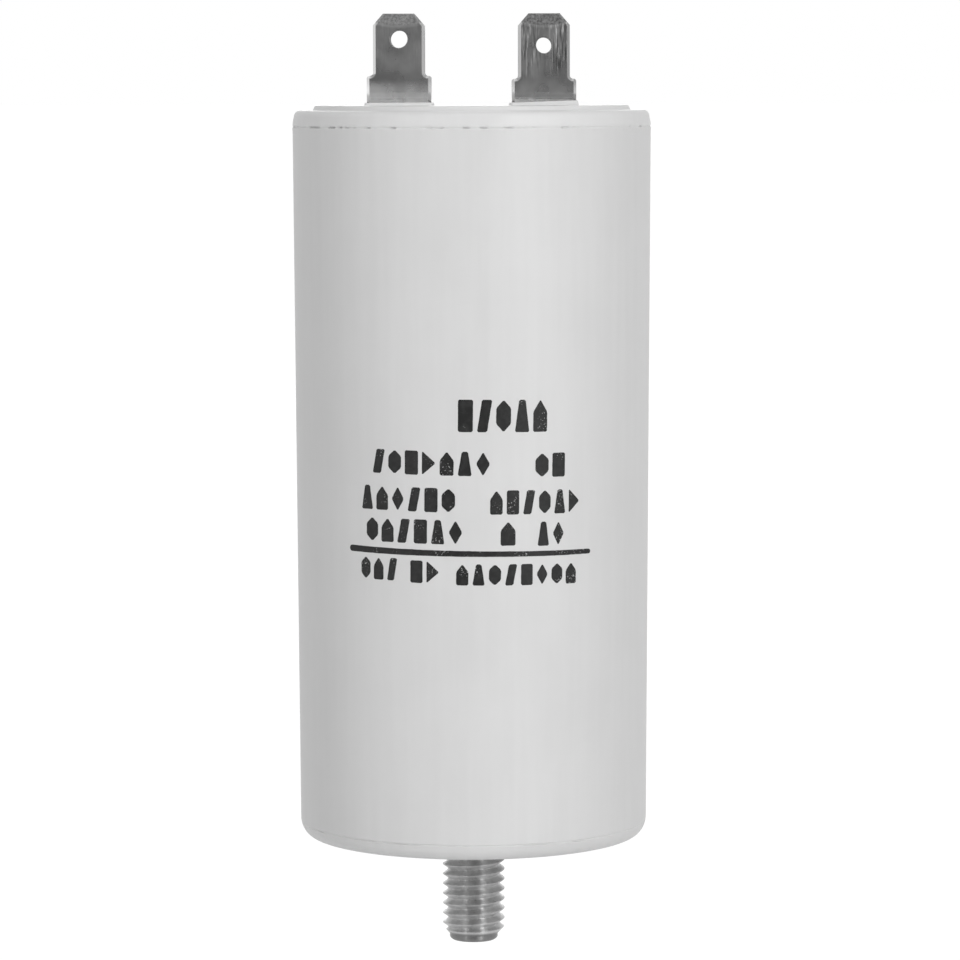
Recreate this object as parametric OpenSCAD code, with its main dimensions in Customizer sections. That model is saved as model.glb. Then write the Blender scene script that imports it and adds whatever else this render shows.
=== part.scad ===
// Motor run capacitor in a moulded plastic can.
// A wound film capacitor is potted inside a tapered cup. An M8 bolt is moulded into the
// cup's base. The lid carries two riveted terminals, each with two parallel tab blades.
// Origin: centre of the base face, where the stud leaves the can. +Z runs up to the terminals.

/* [Case] */
// Outside diameter of the case at its open end
case_d_top = 45; // [40:0.5:55]
// Outside diameter of the case at its base
case_d_base = 43.8; // [39:0.1:54]
// Height of the case from its base face to its rim
case_h = 89.6; // [75:0.1:120]
// Thickness of the case wall
case_wall = 1.6; // [1.2:0.1:2.4]
// Thickness of the case floor
case_floor = 2.5; // [2:0.1:4]
// Radius of the outer edge round the base
base_edge_r = 1.8; // [0.6:0.1:2.2]
// Radius of the inner edge round the floor
floor_edge_r = 1; // [0.5:0.1:1.4]

/* [Stud boss] */
// Diameter of the boss moulded over the bolt head
boss_d = 20; // [18:0.5:24]
// Plastic left under the bolt head, up from the base face
boss_seat_t = 2.2; // [1.6:0.1:3]
// Width of the relief round the stud, which keeps the base face clear of the thread
relief_w = 0.6; // [0.3:0.1:1.2]
// Depth of the relief round the stud
relief_depth = 0.4; // [0.2:0.1:0.8]
// Plastic over the bolt head
boss_roof_t = 1.8; // [1.2:0.1:3]
// Number of gussets between the boss and the wall
gusset_count = 6; // [3:1:8]
// Thickness of each gusset
gusset_t = 1.6; // [1:0.1:2.4]
// Height of each gusset where it meets the wall, up from the floor
gusset_h = 2.4; // [1.5:0.1:4]

/* [Stud] */
// Major diameter of the M8 thread
stud_d = 8; // [5:1:10]
// Length of stud standing out of the base
stud_len = 13.7; // [8:0.1:25]
// Height of the chamfer at the stud's end
stud_chamfer = 0.9; // [0.4:0.1:1.5]
// Diameter of the plain neck inside the base
neck_d = 7.2; // [4:0.1:9]
// Width of the hexagonal head across its flats
head_af = 13; // [11:0.5:15]
// Height of the hexagonal head
head_h = 5.3; // [3:0.1:7]

/* [Lid] */
// Height of the lid's edge above the case rim
skirt_h = 2; // [1.2:0.1:4]
// Amount by which the lid's edge draws in towards its top, on the diameter
skirt_draft = 0.4; // [0:0.1:1]
// Radius of the lid's shoulder
shoulder_r = 0.8; // [0.3:0.1:1.1]
// Thickness of the lid's plate
lid_t = 1.8; // [1.4:0.1:3]
// Diameter of the raised face
plateau_d = 39.6; // [34:0.1:41]
// Height of the raised face above the shoulder
plateau_h = 0.6; // [0.2:0.1:1.5]
// Depth of the spigot that fits into the case
spigot_depth = 4; // [2:0.1:6]
// Thickness of the spigot's wall
spigot_t = 1.4; // [1:0.1:2.4]
// Gap between the spigot and the case wall
spigot_gap = 0.1; // [0.05:0.05:0.4]
// Depth of the spigot's lead-in chamfer
spigot_lead_in = 0.5; // [0.2:0.1:0.9]
// Thickness of the ribs under the plate
rib_t = 1.2; // [0.8:0.1:2]
// Depth of the barrier rib between the two terminals, below the plate
barrier_depth = 2.6; // [1:0.1:4]
// Diameter of the boss under each rivet
rivet_boss_d = 8.4; // [7.4:0.1:10]
// Height of the boss under each rivet
rivet_boss_h = 1.2; // [0.6:0.1:2]

/* [Terminal seats] */
// Distance between the two terminals, centre to centre
terminal_pitch = 18.1; // [16:0.1:22]
// Height of the raised seat above the lid's raised face
pad_h = 0.35; // [0.2:0.05:0.8]
// Width of the plastic rim round a terminal
pad_rim = 0.22; // [0.15:0.01:0.6]
// Run-out of the sloped side of a seat
pad_slope = 0.18; // [0.05:0.01:0.5]
// Depth by which a terminal is let into its seat
seat_depth = 0.25; // [0.1:0.05:0.6]
// Gap round a terminal in its seat
seat_gap = 0.04; // [0.02:0.01:0.15]

/* [Terminals] */
// Width of a tab blade
blade_w = 6.4; // [6.2:0.1:6.6]
// Thickness of the strip
strip_t = 0.8; // [0.7:0.05:0.9]
// Width of the strip below the shoulders
strip_w = 8; // [7.6:0.1:9]
// Distance over the two blades, outside to outside
blade_span = 8; // [7.2:0.1:9]
// Inner radius of the bends
bend_r = 0.8; // [0.4:0.1:1]
// Height of the tips above the underside of the strip
tip_h = 11.3; // [9:0.1:13]
// Width cut off each tip corner
tip_cut_w = 1.25; // [0.8:0.05:1.6]
// Height cut off each tip corner
tip_cut_h = 1.45; // [1:0.05:2]
// Height of the thinned lead-in at the tip
lead_in_h = 1.25; // [0.8:0.05:1.6]
// Thickness taken off each face at the tip
lead_in_t = 0.15; // [0.1:0.01:0.3]
// Radius in the corner above each shoulder
shoulder_fillet_r = 0.4; // [0.2:0.05:0.6]
// Radius on the outside of each shoulder
shoulder_corner_r = 0.35; // [0.1:0.05:0.6]
// Height of the left terminal's shoulders above the underside of the strip
left_shoulder_h = 3.6; // [3:0.05:4.5]
// Height of the right terminal's shoulders above the underside of the strip
right_shoulder_h = 3.2; // [3:0.05:4.5]
// Diameter of the detent hole in the left blades
left_hole_d = 2.2; // [1.6:0.1:2.6]
// Diameter of the detent hole in the right blades
right_hole_d = 2; // [1.6:0.1:2.6]
// Distance from the left tips down to the hole's centre
left_hole_drop = 3.15; // [2.8:0.05:4.2]
// Distance from the right tips down to the hole's centre
right_hole_drop = 3.95; // [2.8:0.05:4.2]

/* [Rivets and solder tags] */
// Diameter of a rivet's shank
rivet_d = 2.8; // [2:0.1:3.2]
// Diameter of the hole through a rivet
rivet_bore_d = 1.8; // [1:0.1:1.9]
// Diameter of a rivet's head
rivet_head_d = 4.6; // [4:0.1:4.8]
// Height of a rivet's head
rivet_head_h = 0.6; // [0.4:0.05:1]
// Diameter of a rivet's clinched foot
rivet_foot_d = 4.4; // [4:0.1:5]
// Height of a rivet's clinched foot
rivet_foot_h = 0.5; // [0.3:0.05:0.8]
// Thickness of a solder tag
tag_t = 0.5; // [0.4:0.05:0.8]
// Diameter of a tag's ring
tag_ring_d = 6.4; // [5.6:0.1:7.4]
// Width of a tag's tail
tag_tail_w = 3; // [2.2:0.1:4]
// Distance from the rivet to the outer face of a tag's tail
tag_reach = 5.5; // [5:0.1:7]
// Length of a tag's tail, from the underside of the boss down
tag_drop = 3.6; // [3:0.1:4.2]

/* [Winding] */
// Height kept under the winding for the lower lead, up from the boss
foot_room = 3.4; // [2.8:0.1:6]
// Height kept over the winding for the leads, down from the case rim
head_room = 11.6; // [11:0.1:16]
// Outside diameter of the core tube
core_d = 8; // [7:0.5:12]
// Bore of the core tube
core_bore_d = 6; // [4:0.5:6]
// Thickness of the sprayed zinc on each end
spray_t = 0.5; // [0.3:0.1:1]
// Thickness of the insulating wrap round the winding
wrap_t = 0.3; // [0.1:0.05:0.6]
// Thickness of resin between the wrap and the case at its tightest
resin_wall = 0.9; // [0.5:0.1:2]
// Depth from the case rim down to the resin's surface
resin_drop = 5.1; // [5:0.1:8]

/* [Leads] */
// Diameter of a lead's conductor
lead_d = 1.4; // [1:0.1:1.8]
// Wall thickness of a lead's sleeve
sleeve_t = 0.4; // [0.2:0.05:0.6]
// Radius of a lead's bends, at its centre line
lead_bend_r = 2; // [1.8:0.1:2.4]
// Length of a lead's foot on the sprayed end, beyond its bend
lead_foot = 4; // [3:0.1:6]
// Length of bare conductor below a tag joint
lead_bare = 0.6; // [0.3:0.1:1]
// Height of the lower lead's cross run above the winding
lead_rise = 2.2; // [1.6:0.1:3]
// Diameter of a solder mound on a sprayed end
mound_d = 5; // [4:0.1:6]
// Height of a solder mound
mound_h = 2; // [1.9:0.1:2.6]
// Thickness of the solder between a lead and its tag
solder_t = 0.15; // [0.05:0.05:0.3]
// Diameter of the solder round a lead at its tag
joint_d = 2.6; // [2.4:0.1:3]
// Height of the solder at a tag
joint_h = 2; // [1.5:0.1:2.6]

/* [Hidden] */

$fn = 96;
OVER = 1;                                   // how far a cut runs past the face it opens

// Radii and heights of the can
case_r_top = case_d_top / 2;
case_r_base = case_d_base / 2;
wall_lean = atan((case_r_top - case_r_base) / case_h);
lid_top_z = case_h + skirt_h;
plateau_z = lid_top_z + plateau_h;
lid_under_z = lid_top_z - lid_t;
spigot_r = min(case_bore_r(case_h - spigot_depth), case_bore_r(case_h)) - spigot_gap;

// Heights round the stud
head_top_z = boss_seat_t + head_h;
boss_top_z = head_top_z + boss_roof_t;

// Heights and places round the terminals
pad_top_z = plateau_z + pad_h;
seat_z = pad_top_z - seat_depth;
boss_under_z = lid_under_z - rivet_boss_h;
lead_x = terminal_pitch / 2 + tag_reach + solder_t + lead_d / 2;
lead_top_z = boss_under_z - tag_t - rivet_foot_h;

// Heights and radii of the winding
winding_z = boss_top_z + foot_room + spray_t;
winding_h = case_h - head_room - spray_t - winding_z;
spray_under_z = winding_z - spray_t;
spray_top_z = winding_z + winding_h + spray_t;
wrap_r = min(case_bore_r(spray_under_z), case_bore_r(spray_top_z)) - resin_wall;
winding_r = wrap_r - wrap_t;
resin_z = case_h - resin_drop;

// Route of the leads
lower_foot_z = spray_under_z - lead_d / 2;
upper_foot_z = spray_top_z + lead_d / 2;
cross_z = spray_top_z + lead_rise;
joint_z = boss_under_z - tag_drop;
sleeve_top_z = joint_z - lead_bare;
mound_reach = lead_bend_r + lead_foot - mound_d / 4;

function case_outer_r(z) = case_r_base + z * tan(wall_lean);
function case_bore_r(z) = case_outer_r(z) - case_wall / cos(wall_lean);

// Puts its children on one side: -1 is the left terminal, 1 the right
module at_terminal(side) {
    translate([side * terminal_pitch / 2, 0, 0]) children();
}

// Half section of a leaning wall whose lower outer corner is rounded by r.
// The wall meets the bottom plane at radius r_low and rises by h at the angle lean.
module rounded_half(r_low, h, lean, r) {
    corner_x = r_low - r * (1 - sin(lean)) / cos(lean);
    r_high = r_low + h * tan(lean);
    polygon([[0, 0], [corner_x, 0], [corner_x, r],
             [corner_x + r * cos(lean), r - r * sin(lean)], [r_high, h], [0, h]]);
    translate([corner_x, r]) circle(r);
}

// ---------------------------------------------------------------- case and stud

module case_cavity(top_z) {
    rotate_extrude()
        translate([0, case_floor])
            rounded_half(case_bore_r(case_floor), top_z - case_floor, wall_lean, floor_edge_r);
}

module stud_neck_and_head() {
    translate([0, 0, -OVER]) cylinder(d = neck_d, h = boss_seat_t + OVER);
    translate([0, 0, boss_seat_t]) cylinder(d = head_af / cos(30), h = head_h, $fn = 6);
}

// One gusset's outline from the boss out to the wall, sloping down towards the wall
module gusset() {
    rotate([90, 0, 0]) translate([0, 0, -gusset_t / 2]) linear_extrude(gusset_t)
        polygon([[0, case_floor / 2], [case_bore_r(case_floor) + case_wall / 2, case_floor / 2],
                 [case_bore_r(case_floor) + case_wall / 2, case_floor + gusset_h],
                 [boss_d / 2, boss_top_z - boss_roof_t], [0, boss_top_z - boss_roof_t]]);
}

// The boss and its gussets, without the bolt's seat
module boss_and_gussets() {
    translate([0, 0, case_floor / 2]) cylinder(d = boss_d, h = boss_top_z - case_floor / 2);
    for (i = [0 : gusset_count - 1]) rotate([0, 0, i * 360 / gusset_count]) gusset();
}

module case() {
    color("whitesmoke") difference() {
        union() {
            difference() {
                rotate_extrude() rounded_half(case_r_base, case_h, wall_lean, base_edge_r);
                case_cavity(case_h + OVER);
            }
            boss_and_gussets();
        }
        stud_neck_and_head();
        translate([0, 0, -OVER]) cylinder(d = stud_d + 2 * relief_w, h = relief_depth + OVER);
    }
}

module stud() {
    color("silver") union() {
        stud_neck_and_head();
        rotate_extrude() polygon([[0, 0], [stud_d / 2, 0], [stud_d / 2, stud_chamfer - stud_len],
                                  [stud_d / 2 - stud_chamfer, -stud_len], [0, -stud_len]]);
    }
}

// ---------------------------------------------------------------- lid

// Outer skin of the lid above the case rim
module lid_shell() {
    lean = atan(skirt_draft / 2 / skirt_h);
    translate([0, 0, lid_top_z]) mirror([0, 0, 1]) rotate_extrude()
        rounded_half(case_r_top - skirt_draft / 2, skirt_h, lean, shoulder_r);
    translate([0, 0, lid_top_z]) cylinder(d = plateau_d, h = plateau_h);
}

// Raised seat with four sloped sides, rimmed all round its terminal
module pad() {
    top_x = strip_w / 2 + seat_gap + pad_rim;
    top_y = blade_span / 2 + seat_gap + pad_rim;
    intersection() {
        pad_slab(top_x, top_y);
        rotate([0, 0, 90]) pad_slab(top_y, top_x);
    }
}

// Block with two sloped sides: half_w wide each way at its top, and longer than half_l
module pad_slab(half_w, half_l) {
    foot_z = plateau_z - plateau_h / 2;
    slope = pad_slope / pad_h * (pad_top_z - foot_z);
    rotate([90, 0, 0]) translate([0, 0, -half_l - pad_slope - OVER])
        linear_extrude(2 * (half_l + pad_slope + OVER))
            polygon([[-half_w - slope, foot_z], [half_w + slope, foot_z],
                     [half_w, pad_top_z], [-half_w, pad_top_z]]);
}

// Spigot with its lead-in chamfer, hollow inside
module spigot() {
    bottom_z = case_h - spigot_depth;
    rotate_extrude() polygon([[spigot_r - spigot_t, bottom_z], [spigot_r - spigot_lead_in, bottom_z],
                              [spigot_r, bottom_z + spigot_lead_in], [spigot_r, case_h],
                              [spigot_r, lid_under_z + OVER / 2],
                              [spigot_r - spigot_t, lid_under_z + OVER / 2]]);
}

// Rib under the plate at x, from the spigot wall at the front to the wall at the back
module under_rib(x, depth) {
    inner_r = spigot_r - spigot_t / 2;
    translate([0, 0, lid_under_z - depth]) intersection() {
        cylinder(r = inner_r, h = depth + OVER / 2);
        translate([x - rib_t / 2, -inner_r, 0]) cube([rib_t, 2 * inner_r, depth + OVER / 2]);
    }
}

module lid() {
    color("whitesmoke") difference() {
        union() {
            difference() {
                lid_shell();
                translate([0, 0, case_h - OVER])
                    cylinder(r = spigot_r - spigot_t / 2, h = lid_under_z - case_h + OVER);
            }
            spigot();
            under_rib(0, barrier_depth);
            for (side = [-1, 1]) under_rib(side * terminal_pitch / 2, rivet_boss_h);
            for (side = [-1, 1]) at_terminal(side) {
                pad();
                translate([0, 0, boss_under_z]) cylinder(d = rivet_boss_d, h = lid_t + rivet_boss_h);
            }
        }
        for (side = [-1, 1]) at_terminal(side) {
            translate([0, 0, boss_under_z - OVER]) cylinder(d = rivet_d, h = tip_h);
            translate([-strip_w / 2 - seat_gap, -blade_span / 2 - seat_gap, seat_z])
                cube([strip_w + 2 * seat_gap, blade_span + 2 * seat_gap, tip_h]);
        }
    }
}

// ---------------------------------------------------------------- terminals

// Front outline of a blade: wide strip, shoulders, narrow blade and cut tip corners
module blade_outline(shoulder_h, hole_d, hole_drop) {
    difference() {
        union() {
            strip_outline(shoulder_h);
            polygon([[-blade_w / 2, 0], [blade_w / 2, 0], [blade_w / 2, tip_h - tip_cut_h],
                     [blade_w / 2 - tip_cut_w, tip_h], [tip_cut_w - blade_w / 2, tip_h],
                     [-blade_w / 2, tip_h - tip_cut_h]]);
            for (side = [-1, 1]) translate([side * blade_w / 2, shoulder_h]) shoulder_fillet(side);
        }
        translate([0, tip_h - hole_drop]) circle(d = hole_d);
    }
}

// The wide part of the outline, with its two upper corners rounded
module strip_outline(shoulder_h) {
    r = shoulder_corner_r;
    translate([-strip_w / 2, 0]) square([strip_w, shoulder_h - r]);
    translate([-strip_w / 2 + r, 0]) square([strip_w - 2 * r, shoulder_h]);
    for (side = [-1, 1]) translate([side * (strip_w / 2 - r), shoulder_h - r]) circle(r);
}

// Web that fills the corner between the shoulder and the blade on one side
module shoulder_fillet(side) {
    r = min(shoulder_fillet_r, (strip_w - blade_w) / 2 - shoulder_corner_r);
    mirror([side < 0 ? 1 : 0, 0]) difference() {
        translate([-r, -r]) square(2 * r);
        translate([r, r]) circle(r);
    }
}

// Side view of the strip bent up at both ends, with thinned lead-ins at the tips
module bracket_side() {
    half = blade_span / 2;
    outer_r = bend_r + strip_t;
    difference() {
        union() {
            translate([-half + outer_r, 0]) square([blade_span - 2 * outer_r, strip_t]);
            for (side = [-1, 1]) {
                translate([side * (half - outer_r), outer_r]) circle(outer_r);
                translate([side * (half - strip_t / 2) - strip_t / 2, outer_r])
                    square([strip_t, tip_h - lead_in_h - outer_r]);
                translate([side * (half - strip_t / 2), 0]) blade_tip();
            }
        }
        translate([-half + strip_t, outer_r]) square([blade_span - 2 * strip_t, tip_h]);
        translate([-half + outer_r, strip_t]) square([blade_span - 2 * outer_r, tip_h]);
        for (side = [-1, 1]) translate([side * (half - outer_r), outer_r]) circle(bend_r);
    }
}

// Thinned end of a blade, seen from its edge
module blade_tip() {
    polygon([[-strip_t / 2, tip_h - lead_in_h], [strip_t / 2, tip_h - lead_in_h],
             [strip_t / 2 - lead_in_t, tip_h], [lead_in_t - strip_t / 2, tip_h]]);
}

module terminal(shoulder_h, hole_d, hole_drop) {
    color("lightslategray") translate([0, 0, seat_z]) difference() {
        intersection() {
            translate([-strip_w / 2, 0, 0]) rotate([90, 0, 90]) linear_extrude(strip_w) bracket_side();
            translate([0, blade_span / 2, 0]) rotate([90, 0, 0]) linear_extrude(blade_span)
                blade_outline(shoulder_h, hole_d, hole_drop);
        }
        translate([0, 0, -OVER]) cylinder(d = rivet_d, h = strip_t + 2 * OVER);
    }
}

// ---------------------------------------------------------------- rivets and tags

// Hollow rivet: domed head on the strip, shank through lid and tag, clinched foot below
module rivet() {
    head_z = seat_z + strip_t;
    foot_z = boss_under_z - tag_t;
    head_round = min(rivet_head_h, (rivet_head_d - rivet_d) / 2) / 2;
    foot_round = min(rivet_foot_h, (rivet_foot_d - rivet_d) / 2) / 2;
    color("silver") rotate_extrude() difference() {
        union() {
            translate([0, foot_z]) square([rivet_d / 2, head_z - foot_z]);
            translate([0, head_z]) rivet_flange(rivet_head_d / 2, rivet_head_h, head_round);
            translate([0, foot_z]) mirror([0, 1])
                rivet_flange(rivet_foot_d / 2, rivet_foot_h, foot_round);
        }
        translate([0, foot_z - rivet_foot_h - OVER])
            square([rivet_bore_d / 2, head_z - foot_z + rivet_head_h + rivet_foot_h + 2 * OVER]);
    }
}

// Half section of a flange of radius r and height h whose far edge is rounded
module rivet_flange(r, h, edge_r) {
    square([r, h - edge_r]);
    square([r - edge_r, h]);
    translate([r - edge_r, h - edge_r]) circle(edge_r, $fn = 32);
}

// Ring under the lid, with a tail that runs out along +X and is bent down for the lead
module tag() {
    color("goldenrod") difference() {
        union() {
            translate([0, 0, boss_under_z - tag_t]) cylinder(d = tag_ring_d, h = tag_t);
            translate([0, -tag_tail_w / 2, boss_under_z - tag_t]) cube([tag_reach, tag_tail_w, tag_t]);
            translate([tag_reach - tag_t, -tag_tail_w / 2, boss_under_z - tag_drop])
                cube([tag_t, tag_tail_w, tag_drop]);
        }
        translate([0, 0, boss_under_z - tag_drop]) cylinder(d = rivet_d, h = tag_drop + OVER);
    }
}

// ---------------------------------------------------------------- leads

// Straight run of diameter d from the point a along +Z
module run(a, d, length) {
    translate(a) cylinder(d = d, h = length, $fn = 32);
}

// Quarter bend of diameter d. It starts at the origin going down and ends going along +X.
module bend(d) {
    translate([lead_bend_r, 0, 0]) rotate([90, 0, 0]) rotate([0, 0, 180])
        rotate_extrude(angle = 90) translate([lead_bend_r, 0]) circle(d = d, $fn = 32);
}

// Level run of diameter d from the point a along +X
module level_run(a, d, length) {
    translate(a) rotate([0, 90, 0]) cylinder(d = d, h = length, $fn = 32);
}

// Upper lead: a foot along the sprayed end, one bend, and up to the left tag
module upper_lead_solid() {
    translate([-lead_x, 0, upper_foot_z]) {
        run([0, 0, lead_bend_r], lead_d, lead_top_z - upper_foot_z - lead_bend_r);
        translate([0, 0, lead_bend_r]) bend(lead_d);
        level_run([lead_bend_r, 0, 0], lead_d, lead_foot);
    }
}

// Up the core, across to the right and up to its tag, from from_z to top_z
module lower_route(d, from_z, top_z) {
    run([0, 0, from_z], d, cross_z - lead_bend_r - from_z);
    translate([0, 0, cross_z - lead_bend_r]) mirror([0, 0, 1]) bend(d);
    level_run([lead_bend_r, 0, cross_z], d, lead_x - 2 * lead_bend_r);
    translate([lead_x, 0, cross_z + lead_bend_r]) rotate([0, 0, 180]) bend(d);
    run([lead_x, 0, cross_z + lead_bend_r], d, top_z - cross_z - lead_bend_r);
}

// Lower lead: a foot under the sprayed end, a bend into the core, and its route to the right tag
module lower_lead_solid() {
    translate([0, 0, lower_foot_z + lead_bend_r]) bend(lead_d);
    level_run([lead_bend_r, 0, lower_foot_z], lead_d, core_d / 2 + lead_foot);
    lower_route(lead_d, lower_foot_z + lead_bend_r, lead_top_z);
}

// Outsides of the two sleeves, filled
module upper_sleeve_solid() {
    run([-lead_x, 0, upper_foot_z + lead_bend_r], lead_d + 2 * sleeve_t,
        sleeve_top_z - upper_foot_z - lead_bend_r);
}

module lower_sleeve_solid() {
    lower_route(lead_d + 2 * sleeve_t, winding_z, sleeve_top_z);
}

module lead_upper() {
    color("orange") upper_lead_solid();
}

module lead_lower() {
    color("orange") lower_lead_solid();
}

module sleeve_upper() {
    color("khaki") difference() {
        upper_sleeve_solid();
        upper_lead_solid();
    }
}

module sleeve_lower() {
    color("khaki") difference() {
        lower_sleeve_solid();
        lower_lead_solid();
    }
}

// Domed solder over the end of a lead's foot, standing on the plane z = 0
module mound() {
    rotate_extrude() {
        square([mound_d / 2 - mound_h, mound_h]);
        translate([mound_d / 2 - mound_h, 0]) intersection() {
            circle(mound_h, $fn = 48);
            square(mound_h);
        }
    }
}

module mound_upper_solid() {
    translate([mound_reach - lead_x, 0, spray_top_z]) mound();
}

module mound_lower_solid() {
    translate([mound_reach + core_d / 2, 0, spray_under_z]) mirror([0, 0, 1]) mound();
}

module mound_upper() {
    color("darkgray") difference() {
        mound_upper_solid();
        upper_lead_solid();
    }
}

module mound_lower() {
    color("darkgray") difference() {
        mound_lower_solid();
        lower_lead_solid();
    }
}

// Solder between a lead and the outer face of its tag's tail
module joint() {
    color("darkgray") translate([lead_x, 0, joint_z]) difference() {
        cylinder(d = joint_d, h = joint_h);
        translate([0, 0, -OVER]) cylinder(d = lead_d, h = joint_h + 2 * OVER, $fn = 32);
        translate([-lead_d / 2 - solder_t - joint_d, -joint_d, -OVER])
            cube([joint_d, 2 * joint_d, joint_h + 2 * OVER]);
    }
}

// ---------------------------------------------------------------- winding and resin

// Upright ring between two radii, from the height z up
module ring(r_in, r_out, z, h) {
    rotate_extrude() translate([r_in, z]) square([r_out - r_in, h]);
}

module winding() {
    color("lightsteelblue") ring(core_d / 2, winding_r, winding_z, winding_h);
}

module core() {
    color("linen") ring(core_bore_d / 2, core_d / 2, spray_under_z, spray_top_z - spray_under_z);
}

module spray(z) {
    color("gray") ring(core_d / 2, winding_r, z, spray_t);
}

module wrap() {
    color("gold") ring(winding_r, wrap_r, spray_under_z, spray_top_z - spray_under_z);
}

// Resin poured round everything in the can, up to its surface below the lid
module resin() {
    color("tan") difference() {
        case_cavity(resin_z);
        boss_and_gussets();
        ring(core_bore_d / 2, wrap_r, spray_under_z, spray_top_z - spray_under_z);
        upper_lead_solid();
        upper_sleeve_solid();
        mound_upper_solid();
        lower_lead_solid();
        lower_sleeve_solid();
        mound_lower_solid();
    }
}

case();
lid();
stud();
at_terminal(-1) terminal(left_shoulder_h, left_hole_d, left_hole_drop);  // terminal_left
at_terminal(1) terminal(right_shoulder_h, right_hole_d, right_hole_drop);  // terminal_right
at_terminal(-1) rivet();  // rivet_left
at_terminal(1) rivet();  // rivet_right
mirror([1, 0, 0]) at_terminal(1) tag();  // tag_left
at_terminal(1) tag();  // tag_right
mirror([1, 0, 0]) joint();  // joint_left
joint();  // joint_right
lead_upper();
lead_lower();
sleeve_upper();
sleeve_lower();
mound_upper();
mound_lower();
winding();
core();
spray(spray_top_z - spray_t);  // spray_upper
spray(spray_under_z);  // spray_lower
wrap();
resin();
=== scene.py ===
"""Looks of a motor run capacitor: a moulded plastic can with a threaded stud and two tab terminals.

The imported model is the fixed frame. Every piece is built in metres in that frame, from sizes
in millimetres that are held by the class of its sub-assembly.
"""

import logging
import math
from dataclasses import dataclass
from enum import Enum
from typing import Callable, Iterable, Sequence, Union

import bmesh
import bpy
from mathutils import Matrix, Vector, noise


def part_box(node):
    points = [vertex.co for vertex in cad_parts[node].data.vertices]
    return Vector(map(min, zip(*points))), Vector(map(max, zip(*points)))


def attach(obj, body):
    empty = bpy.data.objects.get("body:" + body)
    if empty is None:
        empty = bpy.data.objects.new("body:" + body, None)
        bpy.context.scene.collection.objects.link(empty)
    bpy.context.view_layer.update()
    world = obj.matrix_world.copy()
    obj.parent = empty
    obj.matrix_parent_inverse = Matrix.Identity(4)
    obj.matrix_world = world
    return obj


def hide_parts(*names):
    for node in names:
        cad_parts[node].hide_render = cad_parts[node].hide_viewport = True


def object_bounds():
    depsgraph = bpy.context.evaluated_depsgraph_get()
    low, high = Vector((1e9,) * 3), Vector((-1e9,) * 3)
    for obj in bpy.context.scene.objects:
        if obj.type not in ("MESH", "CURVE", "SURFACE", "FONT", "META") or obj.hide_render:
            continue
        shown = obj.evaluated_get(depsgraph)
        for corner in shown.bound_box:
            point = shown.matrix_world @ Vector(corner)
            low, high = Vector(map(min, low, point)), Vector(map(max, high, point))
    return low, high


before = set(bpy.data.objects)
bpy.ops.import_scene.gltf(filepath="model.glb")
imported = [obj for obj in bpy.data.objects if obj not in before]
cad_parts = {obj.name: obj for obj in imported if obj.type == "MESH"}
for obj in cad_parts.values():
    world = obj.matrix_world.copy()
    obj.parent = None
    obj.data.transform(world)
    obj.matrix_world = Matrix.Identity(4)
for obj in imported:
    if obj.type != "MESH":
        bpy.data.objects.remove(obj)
CAD_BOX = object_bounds()

MM = 0.001
TURN = 2 * math.pi
BODY = "root"
SHARP_DEG = 32.0
# Points nearer than MERGE_MM become one, and a cut goes through points nearer than NEAR_MM.
MERGE_MM = 1e-4
NEAR_MM = 1e-5
log = logging.getLogger("capacitor")

Point = tuple[float, float]
Place = tuple[float, float, float]
Loop = list[Point]
Size = Union[float, Callable[[float], float]]
Ring = tuple[Size, Size]


# ---------------------------------------------------------------- node graphs


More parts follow.
